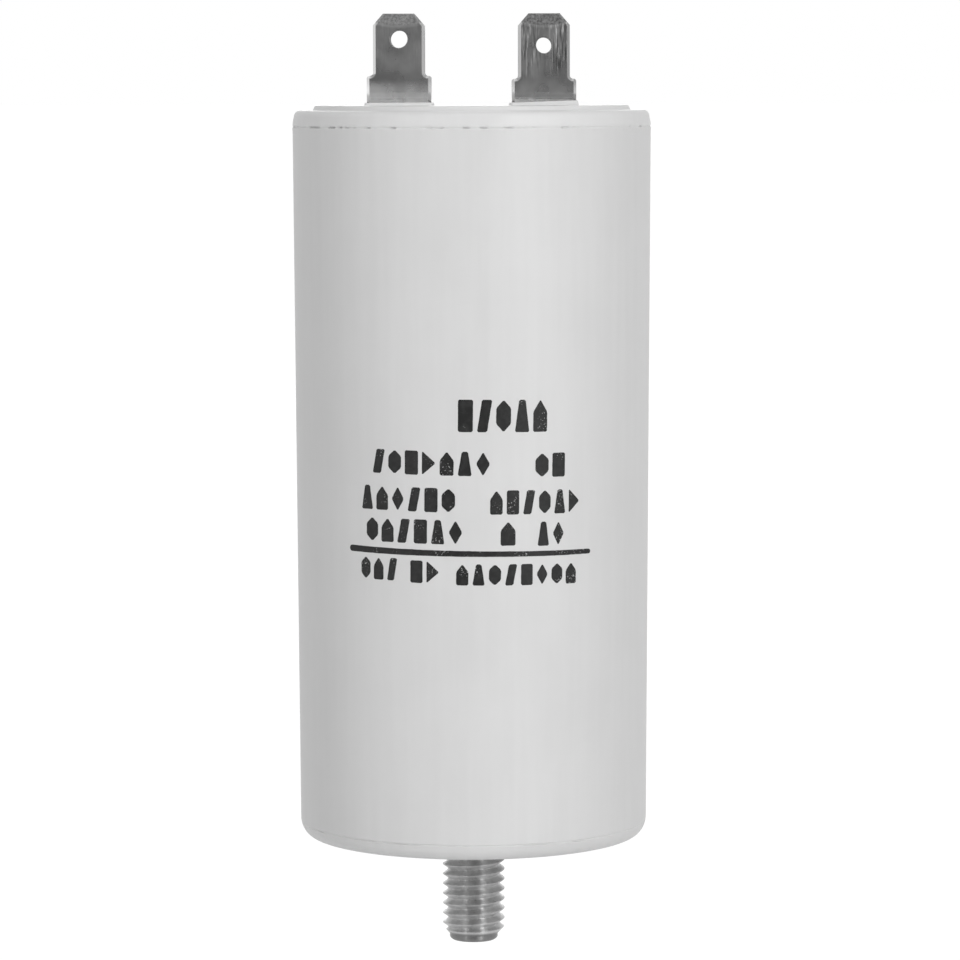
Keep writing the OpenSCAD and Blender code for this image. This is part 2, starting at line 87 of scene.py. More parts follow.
class Field:
    """A node's output socket that takes part in Python expressions."""

    def __init__(self, graph: "Graph", socket: bpy.types.NodeSocket) -> None:
        """Wraps an output socket of a graph."""
        self.graph = graph
        self.socket = socket

    def maths(self, operation: str, *operands: "Operand") -> "Field":
        """Adds one Math node.

        Args:
            operation: The Math node's operation.
            operands: Values or fields after this one.

        Returns:
            The result as a field.
        """
        values = dict(enumerate((self, *operands)))
        return self.graph.node("ShaderNodeMath", {"operation": operation}, values)

    def flipped(self, operation: str, other: "Operand") -> "Field":
        """Adds one Math node with this field as its second operand."""
        return self.graph.node("ShaderNodeMath", {"operation": operation}, {0: other, 1: self})

    def __add__(self, other: "Operand") -> "Field":
        """Sum."""
        return self.maths("ADD", other)

    def __radd__(self, other: "Operand") -> "Field":
        """Sum with the number first."""
        return self.maths("ADD", other)

    def __sub__(self, other: "Operand") -> "Field":
        """Difference."""
        return self.maths("SUBTRACT", other)

    def __rsub__(self, other: "Operand") -> "Field":
        """Difference with the number first."""
        return self.flipped("SUBTRACT", other)

    def __mul__(self, other: "Operand") -> "Field":
        """Product."""
        return self.maths("MULTIPLY", other)

    def __rmul__(self, other: "Operand") -> "Field":
        """Product with the number first."""
        return self.maths("MULTIPLY", other)

    def __truediv__(self, other: "Operand") -> "Field":
        """Quotient."""
        return self.maths("DIVIDE", other)

    def __pow__(self, other: "Operand") -> "Field":
        """Power."""
        return self.maths("POWER", other)

    def __neg__(self) -> "Field":
        """Negative."""
        return self.maths("MULTIPLY", -1.0)

    def least(self, other: "Operand") -> "Field":
        """The smaller of this and another value."""
        return self.maths("MINIMUM", other)

    def most(self, other: "Operand") -> "Field":
        """The larger of this and another value."""
        return self.maths("MAXIMUM", other)

    def ramp(self, low: float, high: float, start: float = 0.0, end: float = 1.0) -> "Field":
        """Maps this field from low..high to start..end with soft ends.

        Args:
            low: Input where the result is start.
            high: Input where the result is end.
            start: Result at low and below.
            end: Result at high and above.

        Returns:
            The mapped field.
        """
        settings = {"interpolation_type": "SMOOTHSTEP"}
        inputs = {0: self, 1: low, 2: high, 3: start, 4: end}
        return self.graph.node("ShaderNodeMapRange", settings, inputs)

    def swing(self, start: float = 0.0, end: float = 1.0) -> "Field":
        """Maps noise, from 0.3 to 0.7 where nearly all of it lies, to start..end."""
        return self.ramp(0.3, 0.7, start, end)

    def part(self, name: str) -> "Field":
        """Another output of the node that made this field."""
        return Field(self.graph, self.graph.find(self.socket.node.outputs, name))


Operand = Union[Field, float]
Colour = tuple[float, float, float, float]


def grey(level: float) -> Colour:
    """A neutral colour of a linear level."""
    return (level, level, level, 1.0)


def toned(colour: Colour, factor: float) -> Colour:
    """A colour made darker or lighter by a factor, with no channel over 1."""
    return tuple(min(c * factor, 1.0) for c in colour[:3]) + (1.0,)


class Graph:
    """A node tree, for a material, a world or a geometry group, that is written as expressions."""

    def __init__(self, tree: bpy.types.NodeTree) -> None:
        """Takes the tree that the nodes go into."""
        self.tree = tree

    @staticmethod
    def find(sockets: Iterable[bpy.types.NodeSocket], key: Union[int, str]) -> bpy.types.NodeSocket:
        """The socket with an index, an identifier or a name.

        Args:
            sockets: A node's inputs or outputs.
            key: Its index, its identifier or its name.

        Returns:
            The socket.
        """
        if isinstance(key, int):
            return sockets[key]
        listed = list(sockets)
        for match in (lambda s: s.identifier == key, lambda s: s.name == key and s.enabled):
            for socket in listed:
                if match(socket):
                    return socket
        raise KeyError(f"no socket {key} among {[s.identifier for s in listed]}")

    def node(self, kind: str, settings: dict | None = None, inputs: dict | None = None,
             output: Union[int, str] = 0) -> Field | None:
        """Adds a node.

        Args:
            kind: The node's type.
            settings: Its properties, set before its sockets.
            inputs: Its sockets' values, fields or objects, by index, identifier or name.
            output: The output to return.

        Returns:
            The chosen output as a field, or None where the node has no outputs.
        """
        made = self.tree.nodes.new(kind)
        for name, value in (settings or {}).items():
            setattr(made, name, value)
        for key, value in (inputs or {}).items():
            self.feed(self.find(made.inputs, key), value)
        return Field(self, self.find(made.outputs, output)) if made.outputs else None

    def feed(self, socket: bpy.types.NodeSocket, value: object) -> None:
        """Links a field to a socket, or sets its value.

        Args:
            socket: An input socket.
            value: A field, a number, a colour, a shape or a material.
        """
        if isinstance(value, Field):
            self.tree.links.new(value.socket, socket)
        else:
            socket.default_value = value

    def mix(self, share: Operand, first: object, second: object) -> Field:
        """Blends two colours.

        Args:
            share: How much of the second colour, 0 to 1.
            first: Colour or field.
            second: Colour or field.

        Returns:
            The blend.
        """
        settings = {"data_type": "RGBA", "clamp_factor": True}
        inputs = {"Factor_Float": share, "A_Color": first, "B_Color": second}
        return self.node("ShaderNodeMix", settings, inputs, "Result_Color")

    def vector(self, operation: str, first: object, second: object) -> Field:
        """Adds one Vector Math node."""
        return self.node("ShaderNodeVectorMath", {"operation": operation}, {0: first, 1: second})

    def noise(self, at: Field, scale: float, detail: float = 2.0, rough: float = 0.5) -> Field:
        """Smooth noise, about 0.2 to 0.8.

        Args:
            at: Coordinates.
            scale: Features for each unit of the coordinates.
            detail: Octaves.
            rough: Share that each octave keeps.

        Returns:
            The noise as a field.
        """
        inputs = {"Vector": at, "Scale": scale, "Detail": detail, "Roughness": rough}
        return self.node("ShaderNodeTexNoise", None, inputs, "Fac")


class Shader(Graph):
    """A material's node tree, with one Principled BSDF that is fed at the end."""

    def __init__(self, name: str) -> None:
        """Makes the material, and its coordinates in millimetres.

        Args:
            name: The material's name.
        """
        self.material = bpy.data.materials.new(name)
        self.material.use_nodes = True
        super().__init__(self.material.node_tree)
        self.tree.nodes.clear()
        place = self.node("ShaderNodeTexCoord", None, None, "Object")
        self.mm = self.vector("MULTIPLY", place, (1 / MM, 1 / MM, 1 / MM))

    def stretched(self, x: float, y: float, z: float) -> Field:
        """Object coordinates in millimetres, with each axis multiplied."""
        return self.vector("MULTIPLY", self.mm, (x, y, z))

    def axes(self) -> tuple[Field, Field, Field]:
        """Object coordinates in millimetres, one field for each axis."""
        split = self.node("ShaderNodeSeparateXYZ", None, {0: self.mm})
        return split, split.part("Y"), split.part("Z")

    def bump(self, height: Field, depth_mm: float, below: Field | None = None) -> Field:
        """Turns a height field into a normal.

        Args:
            height: Height, 0 to 1.
            depth_mm: Relief in millimetres between 0 and 1.
            below: A normal to add to.

        Returns:
            The normal.
        """
        inputs = {"Strength": 1.0, "Distance": depth_mm * MM, "Height": height}
        if below is not None:
            inputs["Normal"] = below
        return self.node("ShaderNodeBump", None, inputs, "Normal")

    def close(self, varying: dict, constant: dict | None = None) -> bpy.types.Material:
        """Adds the Principled BSDF and the output.

        Args:
            varying: Fields or values for sockets that may change over the surface.
            constant: Values for the other sockets.

        Returns:
            The material.
        """
        surface = self.node("ShaderNodeBsdfPrincipled", None, {**varying, **(constant or {})}, "BSDF")
        self.node("ShaderNodeOutputMaterial", None, {"Surface": surface})
        return self.material


# ---------------------------------------------------------------- finishes


@dataclass(frozen=True)
class MouldedPlastic:
    """Satin off-white moulded plastic, with soft mottling, a fine grain and shallow scuffs."""

    name: str
    level: float
    roughness: float = 0.47
    mottle: float = 0.022
    grain_mm: float = 0.004
    wave_mm: float = 0.03
    ior: float = 1.49

    def build(self) -> bpy.types.Material:
        """Builds the material.

        Returns:
            The material.
        """
        s = Shader(self.name)
        cloud = s.noise(s.mm, 0.09, 3.0)
        flow = s.noise(s.stretched(1.0, 1.0, 0.06), 0.7, 2.0)
        grain = s.noise(s.mm, 9.0, 2.0, 0.6)
        scuff = s.noise(s.stretched(0.5, 0.5, 2.2), 1.7, 4.0, 0.62).ramp(0.62, 0.72)
        tone = cloud * 0.6 + flow * 0.4
        low = grey(self.level * (1 - self.mottle))
        high = grey(self.level * (1 + self.mottle))
        base = s.mix(tone.swing(), low, high)
        rough = tone.swing(self.roughness - 0.03, self.roughness + 0.03) + scuff * 0.05
        waves = s.bump(cloud * 0.5 + s.noise(s.mm, 0.35, 2.0), self.wave_mm)
        normal = s.bump(grain + scuff * 0.4, self.grain_mm, waves)
        return s.close({"Base Color": base, "Roughness": rough, "Normal": normal}, {"IOR": self.ior})


@dataclass(frozen=True)
class TabFace:
    """Where a tab's features lie on its faces, in millimetres in the part's frame.

    A band below the tip or the hole gives the drops where it starts and where it is full. A band
    above the seat gives two heights.
    """

    middle_x: float
    seat_z: float
    tip_z: float
    shoulder_z: float
    hole_z: float
    half_w: float
    half_foot: float
    coined: float
    tip_band: Point = (1.62, 1.35)
    rim_band: Point = (1.95, 1.6)
    score_band: Point = (5.0, 1.2)
    # The last three fields place the painted reflection at the foot and the bend, and the height where the
    # painted highlight on the foot's edges is full.
    foot_band: Point = (2.0, 3.2)
    bend_band: Point = (0.53, 1.0)
    foot_highlight_rise: float = 1.4


@dataclass(frozen=True)
class TabWearAndPaintedLight:
    """How scored one tab is and how bright its parts are; the brightness at its foot and bend is painted
    reflection, and at its edges painted highlight. A tone of 1 is the strip's own level.
    """

    scratches: float
    tip_tone: float
    # The foot and bend tones below are painted reflection that lightens the strip towards its bend.
    foot_painted_reflection: float
    # The edge tones below are painted highlight on the coined edges, one tone for each side as the light
    # falls.
    edge_painted_highlights: Point
    blade_tone: float = 1.04
    bend_painted_reflection: float = 3.4
    foot_edge_painted_highlight: float = 0.7


@dataclass(frozen=True)
class TinnedStrip:
    """Tin-plated strip: clouded plating, a few pits, a rubbed tip and fine scores, with painted highlights
    on its edges and a painted reflection at its foot and bend.
    """

    name: str
    face: TabFace
    wear: TabWearAndPaintedLight
    level: float = 0.305
    brightest: float = 1.2
    roughness: float = 0.28
    wave_mm: float = 0.015
    wear_mm: float = 0.004

    def blade_tone(self, z: Field) -> Field:
        """Tone at a height: the blade's, then the foot's and the bend's under it, which are painted
        reflection that lightens the strip down to its bend.

        Args:
            z: Height.

        Returns:
            The tone as a field.
        """
        face, wear = self.face, self.wear
        foot_low, foot_high = (face.seat_z + up for up in face.foot_band)
        bend_low, bend_high = (face.seat_z + up for up in face.bend_band)
        blade = z.ramp(foot_high, foot_low, wear.blade_tone, wear.foot_painted_reflection)
        return blade + z.ramp(bend_high, bend_low, 0.0, wear.bend_painted_reflection - wear.foot_painted_reflection)

    def scores(self, s: Shader, across: Field, z: Field) -> tuple[Field, Field]:
        """Fine light and dark scores up the blade, mostly beside its middle.

        Args:
            s: The material's tree.
            across: Distance from the tab's middle.
            z: Height.

        Returns:
            How strong the light and the dark scores are.
        """
        fine = s.noise(s.stretched(6.2, 6.2, 0.42), 1.0, 2.0, 0.6)
        broad = s.noise(s.stretched(1.1, 1.1, 0.28), 1.0, 2.0, 0.5).ramp(0.34, 0.54)
        start, full = (self.face.hole_z - drop for drop in self.face.score_band)
        sides = across.ramp(0.3, 2.2, 0.35, 1.0)
        scored = z.ramp(start, full) * sides * broad * self.wear.scratches
        return fine.ramp(0.54, 0.66) * scored, fine.ramp(0.50, 0.38) * scored

    def edges(self, offset: Field, across: Field, z: Field) -> tuple[Field, Field]:
        """The coined edges and their painted highlight: one tone on each side, as the light falls on it,
        and brighter at the foot.

        Args:
            offset: Signed distance from the tab's middle.
            across: Distance from the tab's middle.
            z: Height.

        Returns:
            Where the edges are, 0 to 1, and their tone.
        """
        face = self.face
        half = z.ramp(face.shoulder_z - 0.05, face.shoulder_z + 0.3, face.half_foot, face.half_w)
        edge = (across - half + face.coined).ramp(-0.03, 0.05)
        foot = z.ramp(face.seat_z + face.foot_band[1], face.seat_z + face.foot_highlight_rise,
                      0.0, self.wear.foot_edge_painted_highlight)
        return edge, offset.ramp(-0.5, 0.5, *self.wear.edge_painted_highlights) + foot

    def build(self) -> bpy.types.Material:
        """Builds the material.

        Returns:
            The material.
        """
        s = Shader(self.name)
        face = self.face
        x, _, z = s.axes()
        offset = x - face.middle_x
        across = offset.maths("ABSOLUTE")

        cloud = s.noise(s.mm, 0.30, 2.0, 0.5)
        blotch = s.noise(s.mm, 0.9, 1.0)
        tone = (cloud * 0.6 + blotch * 0.4).swing(0.90, 1.10)
        speckle = s.noise(s.mm, 3.6, 3.0, 0.75).ramp(0.34, 0.66, -0.5, 0.5)
        pits = s.noise(s.stretched(1.0, 0.6, 1.2), 2.6, 2.0, 0.5).ramp(0.74, 0.79)

        bow = z - across * across * 0.05
        tip = bow.ramp(*(face.tip_z - drop for drop in face.tip_band))
        blade = 1.0 - tip
        rim = bow.ramp(*(face.tip_z - drop for drop in face.rim_band)) * blade
        light, dark = (scores * blade for scores in self.scores(s, across, z))
        # Painted highlight on the coined edges, lighter on one side and at the foot.
        edge, edge_painted_highlight = self.edges(offset, across, z)

        # The tone by height carries the painted reflection at the foot and bend; the edges carry a painted
        # highlight.
        level = tone * self.blade_tone(z) * blade + tone * (self.wear.tip_tone + speckle * 0.55) * tip
        level = level + rim * 0.35 + light * 1.3 - dark * 0.6
        level = level * (1.0 - pits * 0.5) * (1.0 - edge) + edge_painted_highlight * edge
        share = (level * (self.level / self.brightest)).most(0.0).least(1.0)
        base = s.mix(share, grey(0.0), grey(self.brightest))
        rough = cloud.swing(self.roughness - 0.03, self.roughness + 0.04)
        rough = rough + tip * 0.10 + light * 0.08 + pits * 0.15
        relief = speckle * tip * 0.5 - pits * 0.4 - light * 0.15
        normal = s.bump(relief, self.wear_mm, s.bump(cloud, self.wave_mm))
        return s.close({"Base Color": base, "Roughness": rough, "Metallic": 1.0, "Normal": normal})


@dataclass(frozen=True)
class PlatedMetal:
    """Plated or bare metal with mottled plating and fine marks. Below a given height its colour is
    darkened, as painted shade at a bolt's end.
    """

    name: str
    colour: Colour
    roughness: float = 0.3
    speck: float = 0.5
    line_stretch: Place = (1.0, 1.0, 1.0)
    relief_mm: float = 0.008
    drawn: float = 0.0
    drawn_turn: float = 0.25
    shaded_end_z: float | None = None
    shaded_end_fade: float = 0.3

    def build(self) -> bpy.types.Material:
        """Builds the material.

        Returns:
            The material.
        """
        s = Shader(self.name)
        cloud = s.noise(s.mm, 0.8, 3.0)
        fine = s.noise(s.stretched(*self.line_stretch), 5.0, 3.0, 0.6)
        specks = s.noise(s.mm, 2.6, 2.0).ramp(0.66, 0.74) * self.speck
        deep = toned(self.colour, 0.45)
        tone = (cloud * 0.6 + fine * 0.4).ramp(0.33, 0.67)
        base = s.mix(tone, toned(self.colour, 0.84), toned(self.colour, 1.1))
        base = s.mix(specks, base, deep)
        # Painted shade: the metal darkens towards the bolt's end, below the given height.
        if self.shaded_end_z is not None:
            base = s.mix(s.axes()[2].ramp(self.shaded_end_z + self.shaded_end_fade, self.shaded_end_z), base, deep)
        rough = fine.swing(self.roughness - 0.05, self.roughness + 0.06) + specks * 0.12
        normal = s.bump(fine - specks, self.relief_mm)
        return s.close({"Base Color": base, "Roughness": rough, "Metallic": 1.0, "Normal": normal},
                       {"Anisotropic": self.drawn, "Anisotropic Rotation": self.drawn_turn})


@dataclass(frozen=True)
class Printed:
    """Black pad-print ink that lets a little plastic through where it has worn."""

    name: str
    ink: float = 0.014
    bare: float = 0.62
    wear: float = 0.9
    relief_mm: float = 0.006
    gloss: float = 0.28

    def build(self) -> bpy.types.Material:
        """Builds the material.

        Returns:
            The material.
        """
        s = Shader(self.name)
        patch = s.noise(s.mm, 0.30, 2.0).ramp(0.50, 0.66)
        pinholes = s.noise(s.mm, 4.6, 2.0, 0.6).ramp(0.60, 0.70)
        thin = s.noise(s.mm, 1.1, 3.0, 0.6).ramp(0.35, 0.75)
        base = s.mix(thin, grey(self.ink * 0.75), grey(self.ink * 1.7))
        base = s.mix(patch * pinholes * self.wear, base, grey(self.bare))
        rough = thin.ramp(0.0, 1.0, 0.42, 0.56)
        normal = s.bump(thin + pinholes, self.relief_mm)
        return s.close({"Base Color": base, "Roughness": rough, "Normal": normal},
                       {"Specular IOR Level": self.gloss})


@dataclass(frozen=True)
class PlainSolid:
    """A cast, wound or extruded material of one colour, with its own tone, lines and grain."""

    name: str
    colour: Colour
    roughness: float
    line_stretch: Place = (1.0, 1.0, 1.0)
    line_scale: float = 1.0
    spread: float = 0.14
    relief_mm: float = 0.02
    coat: float = 0.0

    def build(self) -> bpy.types.Material:
        """Builds the material.

        Returns:
            The material.
        """
        s = Shader(self.name)
        lines = s.noise(s.stretched(*self.line_stretch), self.line_scale, 3.0, 0.6)
        cloud = s.noise(s.mm, 0.3, 3.0)
        tone = (lines * 0.5 + cloud * 0.5).ramp(0.35, 0.65)
        base = s.mix(tone, toned(self.colour, 1 - self.spread), toned(self.colour, 1 + self.spread))
        rough = cloud.swing(self.roughness - 0.05, self.roughness + 0.05)
        return s.close({"Base Color": base, "Roughness": rough,
                        "Normal": s.bump(lines, self.relief_mm)}, {"Coat Weight": self.coat})


# ---------------------------------------------------------------- mesh tools


class Cut(Enum):
    """How one mesh is joined with another."""

    UNION = "UNION"
    DIFFERENCE = "DIFFERENCE"


def linked(name: str, data: bpy.types.ID) -> bpy.types.Object:
    """An object that holds some data, linked to the scene.

    Args:
        name: The object's name.
        data: Its mesh, camera or light.

    Returns:
        The object.
    """
    made = bpy.data.objects.new(name, data)
    bpy.context.scene.collection.objects.link(made)
    return made


def new_piece(name: str, bm: bmesh.types.BMesh, sharp_deg: float = SHARP_DEG) -> bpy.types.Object:
    """Turns a bmesh in millimetres into an object in metres, with smooth shading.

    Args:
        name: The object's name.
        bm: The mesh; it is freed.
        sharp_deg: Edges that turn more than this stay sharp.

    Returns:
        The object, linked to the scene.
    """
    bmesh.ops.remove_doubles(bm, verts=bm.verts, dist=MERGE_MM)
    bmesh.ops.recalc_face_normals(bm, faces=bm.faces)
    bmesh.ops.scale(bm, vec=(MM, MM, MM), verts=bm.verts)
    mesh = bpy.data.meshes.new(name)
    bm.to_mesh(mesh)
    bm.free()
    shade(mesh, sharp_deg)
    return linked(name, mesh)


def shade(mesh: bpy.types.Mesh, sharp_deg: float = SHARP_DEG) -> None:
    """Shades a mesh smooth, apart from edges that turn more than an angle."""
    mesh.shade_smooth()
    mesh.set_sharp_from_angle(angle=math.radians(sharp_deg))


def settle(piece: bpy.types.Object) -> None:
    """Turns a piece's modifiers into its mesh.

    Args:
        piece: The piece.
    """
    graph = bpy.context.evaluated_depsgraph_get()
    done = bpy.data.meshes.new_from_object(piece.evaluated_get(graph), depsgraph=graph)
    piece.modifiers.clear()
    old, piece.data = piece.data, done
    bpy.data.meshes.remove(old)
    done.name = piece.name


def carve(base: bpy.types.Object, tools: Sequence[bpy.types.Object], how: Cut) -> None:
    """Joins or cuts closed tools with a closed base, and removes the tools.

    Args:
        base: The piece that is kept.
        tools: The pieces that are joined to it or cut from it.
        how: Whether they are joined or cut.
    """
    for tool in tools:
        step = base.modifiers.new("carve", "BOOLEAN")
        step.operation = how.value
        step.solver = "MANIFOLD"
        step.object = tool
        settle(base)
        bpy.data.objects.remove(tool)


def around(row: Sequence) -> list[tuple]:
    """Each item of a closed row, with the one after it."""
    return list(zip(row, [*row[1:], row[0]]))


def skin(bm: bmesh.types.BMesh, low: Sequence[bmesh.types.BMVert],
         high: Sequence[bmesh.types.BMVert]) -> None:
    """Joins two closed rows of points with faces. A row of one point is a pole.

    Args:
        bm: The mesh.
        low: One row.
        high: The other row.
    """
    if len(low) == 1:
        faces = [(low[0], there, here) for here, there in around(high)]
    elif len(high) == 1:
        faces = [(here, there, high[0]) for here, there in around(low)]
    else:
        faces = [(a, b, d, c) for (a, b), (c, d) in zip(around(low), around(high))]
    for face in faces:
        bm.faces.new(face)


def capped(low: Sequence[Place], high: Sequence[Place]) -> bmesh.types.BMesh:
    """A closed solid between two loops of points, in millimetres.

    Args:
        low: One loop.
        high: The other loop, with as many points.

    Returns:
        The mesh.
    """
    bm = bmesh.new()
    ends = [[bm.verts.new(point) for point in loop] for loop in (low, high)]
    for end in ends:
        bm.faces.new(end)
    skin(bm, *ends)
    return bm


def filled(bm: bmesh.types.BMesh, edges: Sequence[bmesh.types.BMEdge]) -> None:
    """Fills flat loops of edges with triangles. A loop within another is a hole."""
    bmesh.ops.triangle_fill(bm, use_beauty=True, use_dissolve=False, edges=edges)


def score(bm: bmesh.types.BMesh, place: Place, facing: Place) -> None:
    """Cuts edges into a mesh where a plane crosses it.

    Args:
        bm: The mesh.
        place: A point of the plane.
        facing: The plane's normal.
    """
    everything = list(bm.verts) + list(bm.edges) + list(bm.faces)
    bmesh.ops.bisect_plane(bm, geom=everything, dist=NEAR_MM, plane_co=place, plane_no=facing)


def lathe(rings: Sequence[Ring], segments: int, loop: bool = False) -> bmesh.types.BMesh:
    """Revolves a profile round Z, in millimetres.

    Args:
        rings: Radius and height of each point. Either may be a function of the angle. A radius of
            0 makes a pole.
        segments: Faces round the axis.
        loop: Whether the last point joins the first, as in a ring.

    Returns:
        The mesh.
    """
    bm = bmesh.new()
    rows = []
    for radius, height in rings:
        if radius == 0:
            rows.append([bm.verts.new((0.0, 0.0, height))])
            continue
        row = []
        for i in range(segments):
            a = TURN * i / segments
            r = radius(a) if callable(radius) else radius
            z = height(a) if callable(height) else height
            row.append(bm.verts.new((r * math.cos(a), r * math.sin(a), z)))
        rows.append(row)
    for low, high in around(rows) if loop else zip(rows, rows[1:]):
        skin(bm, low, high)
    return bm


def arc(centre: Point, radius: float, start: float, end: float, steps: int) -> Loop:
    """Points on an arc, with its angles in degrees."""
    turn = [math.radians(start + (end - start) * i / steps) for i in range(steps + 1)]
    return [(centre[0] + radius * math.cos(a), centre[1] + radius * math.sin(a)) for a in turn]


def hexagon(across_flats: float) -> Callable[[float], float]:
    """Radius of a hexagon with a corner on +X, as a function of the angle."""
    return lambda a: across_flats / 2 / math.cos(a % (TURN / 6) - TURN / 12)


def clamped(value: float) -> float:
    """A value held between 0 and 1."""
    return min(max(value, 0.0), 1.0)


def ripple(seed: float, fineness: float, detail: int = 3) -> Callable[[float], float]:
    """Noise round the axis that closes on itself, about -1 to 1.

    Args:
        seed: Picks the pattern.
        fineness: Radius of the noise's circle: more gives finer waves.
        detail: Octaves.

    Returns:
        The noise as a function of the angle.
    """
    def level(a: float) -> float:
        """The noise at an angle."""
        at = Vector((fineness * math.cos(a), fineness * math.sin(a), seed))
        return noise.fractal(at, 1.0, 2.1, detail)
    return level


def finish_piece(piece: bpy.types.Object, material: bpy.types.Material,
                 replaced: Sequence[str] = ()) -> bpy.types.Object:
    """Gives a piece its material, and ties it to the frame.

    Args:
        piece: The piece.
        material: Its material.
        replaced: CAD nodes that it stands for.

    Returns:
        The piece.
    """
    piece.data.materials.clear()
    piece.data.materials.append(material)
    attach(piece, BODY)
    if replaced:
        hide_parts(*replaced)
    log.info("%s: %d faces", piece.name, len(piece.data.polygons))
    return piece


def run_group(piece: bpy.types.Object, tree: bpy.types.NodeTree, values: dict) -> None:
    """Runs a geometry group on a piece, and keeps the result as its mesh.

    Args:
        piece: The piece.
        tree: The group.
        values: The group's inputs, by name.
    """
    step = piece.modifiers.new(tree.name, "NODES")
    step.node_group = tree
    for item in tree.interface.items_tree:
        if item.in_out == "INPUT" and item.name in values:
            step[item.identifier] = values[item.name]
    settle(piece)


class GeometryGroup(Graph):
    """A Geometry Nodes group with named inputs, that ends in Realize Instances and Set Material."""

    def __init__(self, name: str, numbers: Sequence[str], takes_mesh: bool = False) -> None:
        """Makes the group and its inputs.

        Args:
            name: The group's name.
            numbers: Names of the inputs that are numbers.
            takes_mesh: Whether the group also takes the piece's own mesh.
        """
        tree = bpy.data.node_groups.new(name, "GeometryNodeTree")
        super().__init__(tree)
        sides = tree.interface
        if takes_mesh:
            sides.new_socket("Geometry", in_out="INPUT", socket_type="NodeSocketGeometry")
        for number in numbers:
            sides.new_socket(number, in_out="INPUT", socket_type="NodeSocketFloat")
        sides.new_socket("Material", in_out="INPUT", socket_type="NodeSocketMaterial")
        sides.new_socket("Geometry", in_out="OUTPUT", socket_type="NodeSocketGeometry")
        self.given = tree.nodes.new("NodeGroupInput")

    def take(self, name: str) -> Field:
        """A named input as a field."""
        return Field(self, self.given.outputs[name])

    def close(self, shape: Field) -> bpy.types.NodeTree:
        """Ends the group with a shape.

        Args:
            shape: The shape, which may hold instances.

        Returns:
            The group.
        """
        real = self.node("GeometryNodeRealizeInstances", None, {0: shape})
        inputs = {"Geometry": real, "Material": self.take("Material")}
        dressed = self.node("GeometryNodeSetMaterial", None, inputs)
        self.node("NodeGroupOutput", None, {0: dressed})
        return self.tree


# ---------------------------------------------------------------- can


@dataclass(frozen=True)
class BoltHead:
    """The bolt's neck and hexagonal head, which the can's boss is moulded round."""

    neck_r: float = 3.6
    across_flats: float = 13.0
    z: Point = (2.2, 7.5)


@dataclass(frozen=True)
class WeldSeam:
    """The groove between can and lid, which is shut, faint or a dark dash, and most open at -X.

    The faint line and the dash each give the noise level where they start and how far they open.
    """

    seed: float = 2.6
    fineness: float = 26.0
    shut: float = 0.10
    shut_side: float = 0.15
    least: float = 0.35
    faint: Point = (-0.5, 0.6)
    dash: Point = (0.05, 1.5)
    dash_slope: float = 5.0

    def opening(self) -> Callable[[float], float]:
        """How far the seam stands open round the can.

        Returns:
            The opening as a function of the angle, where 1 is about the groove's depth.
        """
        uneven = ripple(self.seed, self.fineness)

        def at(a: float) -> float:
            """The opening at an angle.

            Args:
                a: The angle.

            Returns:
                The opening.
            """
            level = uneven(a) - (self.shut + self.shut_side * math.cos(a))
            faint, dash = level - self.faint[0], (level - self.dash[0]) * self.dash_slope
            return self.least + self.faint[1] * clamped(faint) + self.dash[1] * clamped(dash)
        return at


@dataclass(frozen=True)
class PartingLine:
    """The mould's parting line round the can: an uneven lip with two gate marks.

    The depth is a mean and a sway. A step gives a ring's rise over the line, its depth and how
    proud it stands at a gate.
    """

    z: float = 1.95
    depth: Point = (0.7, 1.1)
    fade: Point = (0.25, 0.5)
    least: float = 0.1
    drift: float = 0.07
    gate_deg: float = 33.0
    gate_half: float = 0.45
    steps: Sequence[Place] = (
        (-0.34, 0.0, 0.0), (-0.20, -0.006, 0.05), (-0.11, -0.004, 0.09), (-0.04, 0.115, 0.06),
        (0.04, 0.120, 0.03), (0.11, 0.0, 0.0), (0.22, 0.0, 0.0), (0.5, 0.0, 0.0), (1.2, 0.0, 0.0))

    def rings(self, wall: Callable[[float], float], r_gate: float) -> list[Ring]:
        """Rings of the line on a wall.

        Args:
            wall: Radius of the wall at a height.
            r_gate: Radius at which the gates' width is measured.

        Returns:
            The rings, from below the line to above it.
        """
        uneven = ripple(3.1, 7.0, 4)
        drift = ripple(8.4, 2.2)
        gates = [math.radians(-90 + turn) for turn in (-self.gate_deg, self.gate_deg)]

        def gate(a: float) -> float:
            """Height of the gate marks at an angle, 0 to 1."""
            near = min(abs((a - g + math.pi) % TURN - math.pi) for g in gates)
            return math.exp(-((near * r_gate / self.gate_half) ** 2))

        def cut(a: float) -> float:
            """How deep the line is at an angle: uneven, and faint towards -X."""
            fade = self.fade[1] * min(math.cos(a) + self.fade[0], 0.0)
            return max(self.depth[0] + self.depth[1] * uneven(a) + fade, self.least)

        def ring(rise: float, deep: float, proud: float) -> Ring:
            """One ring at a distance above the line."""
            z = self.z + rise
            return lambda a: wall(z) - deep * cut(a) + proud * gate(a), lambda a: z + self.drift * drift(a)

        return [ring(*step) for step in self.steps]


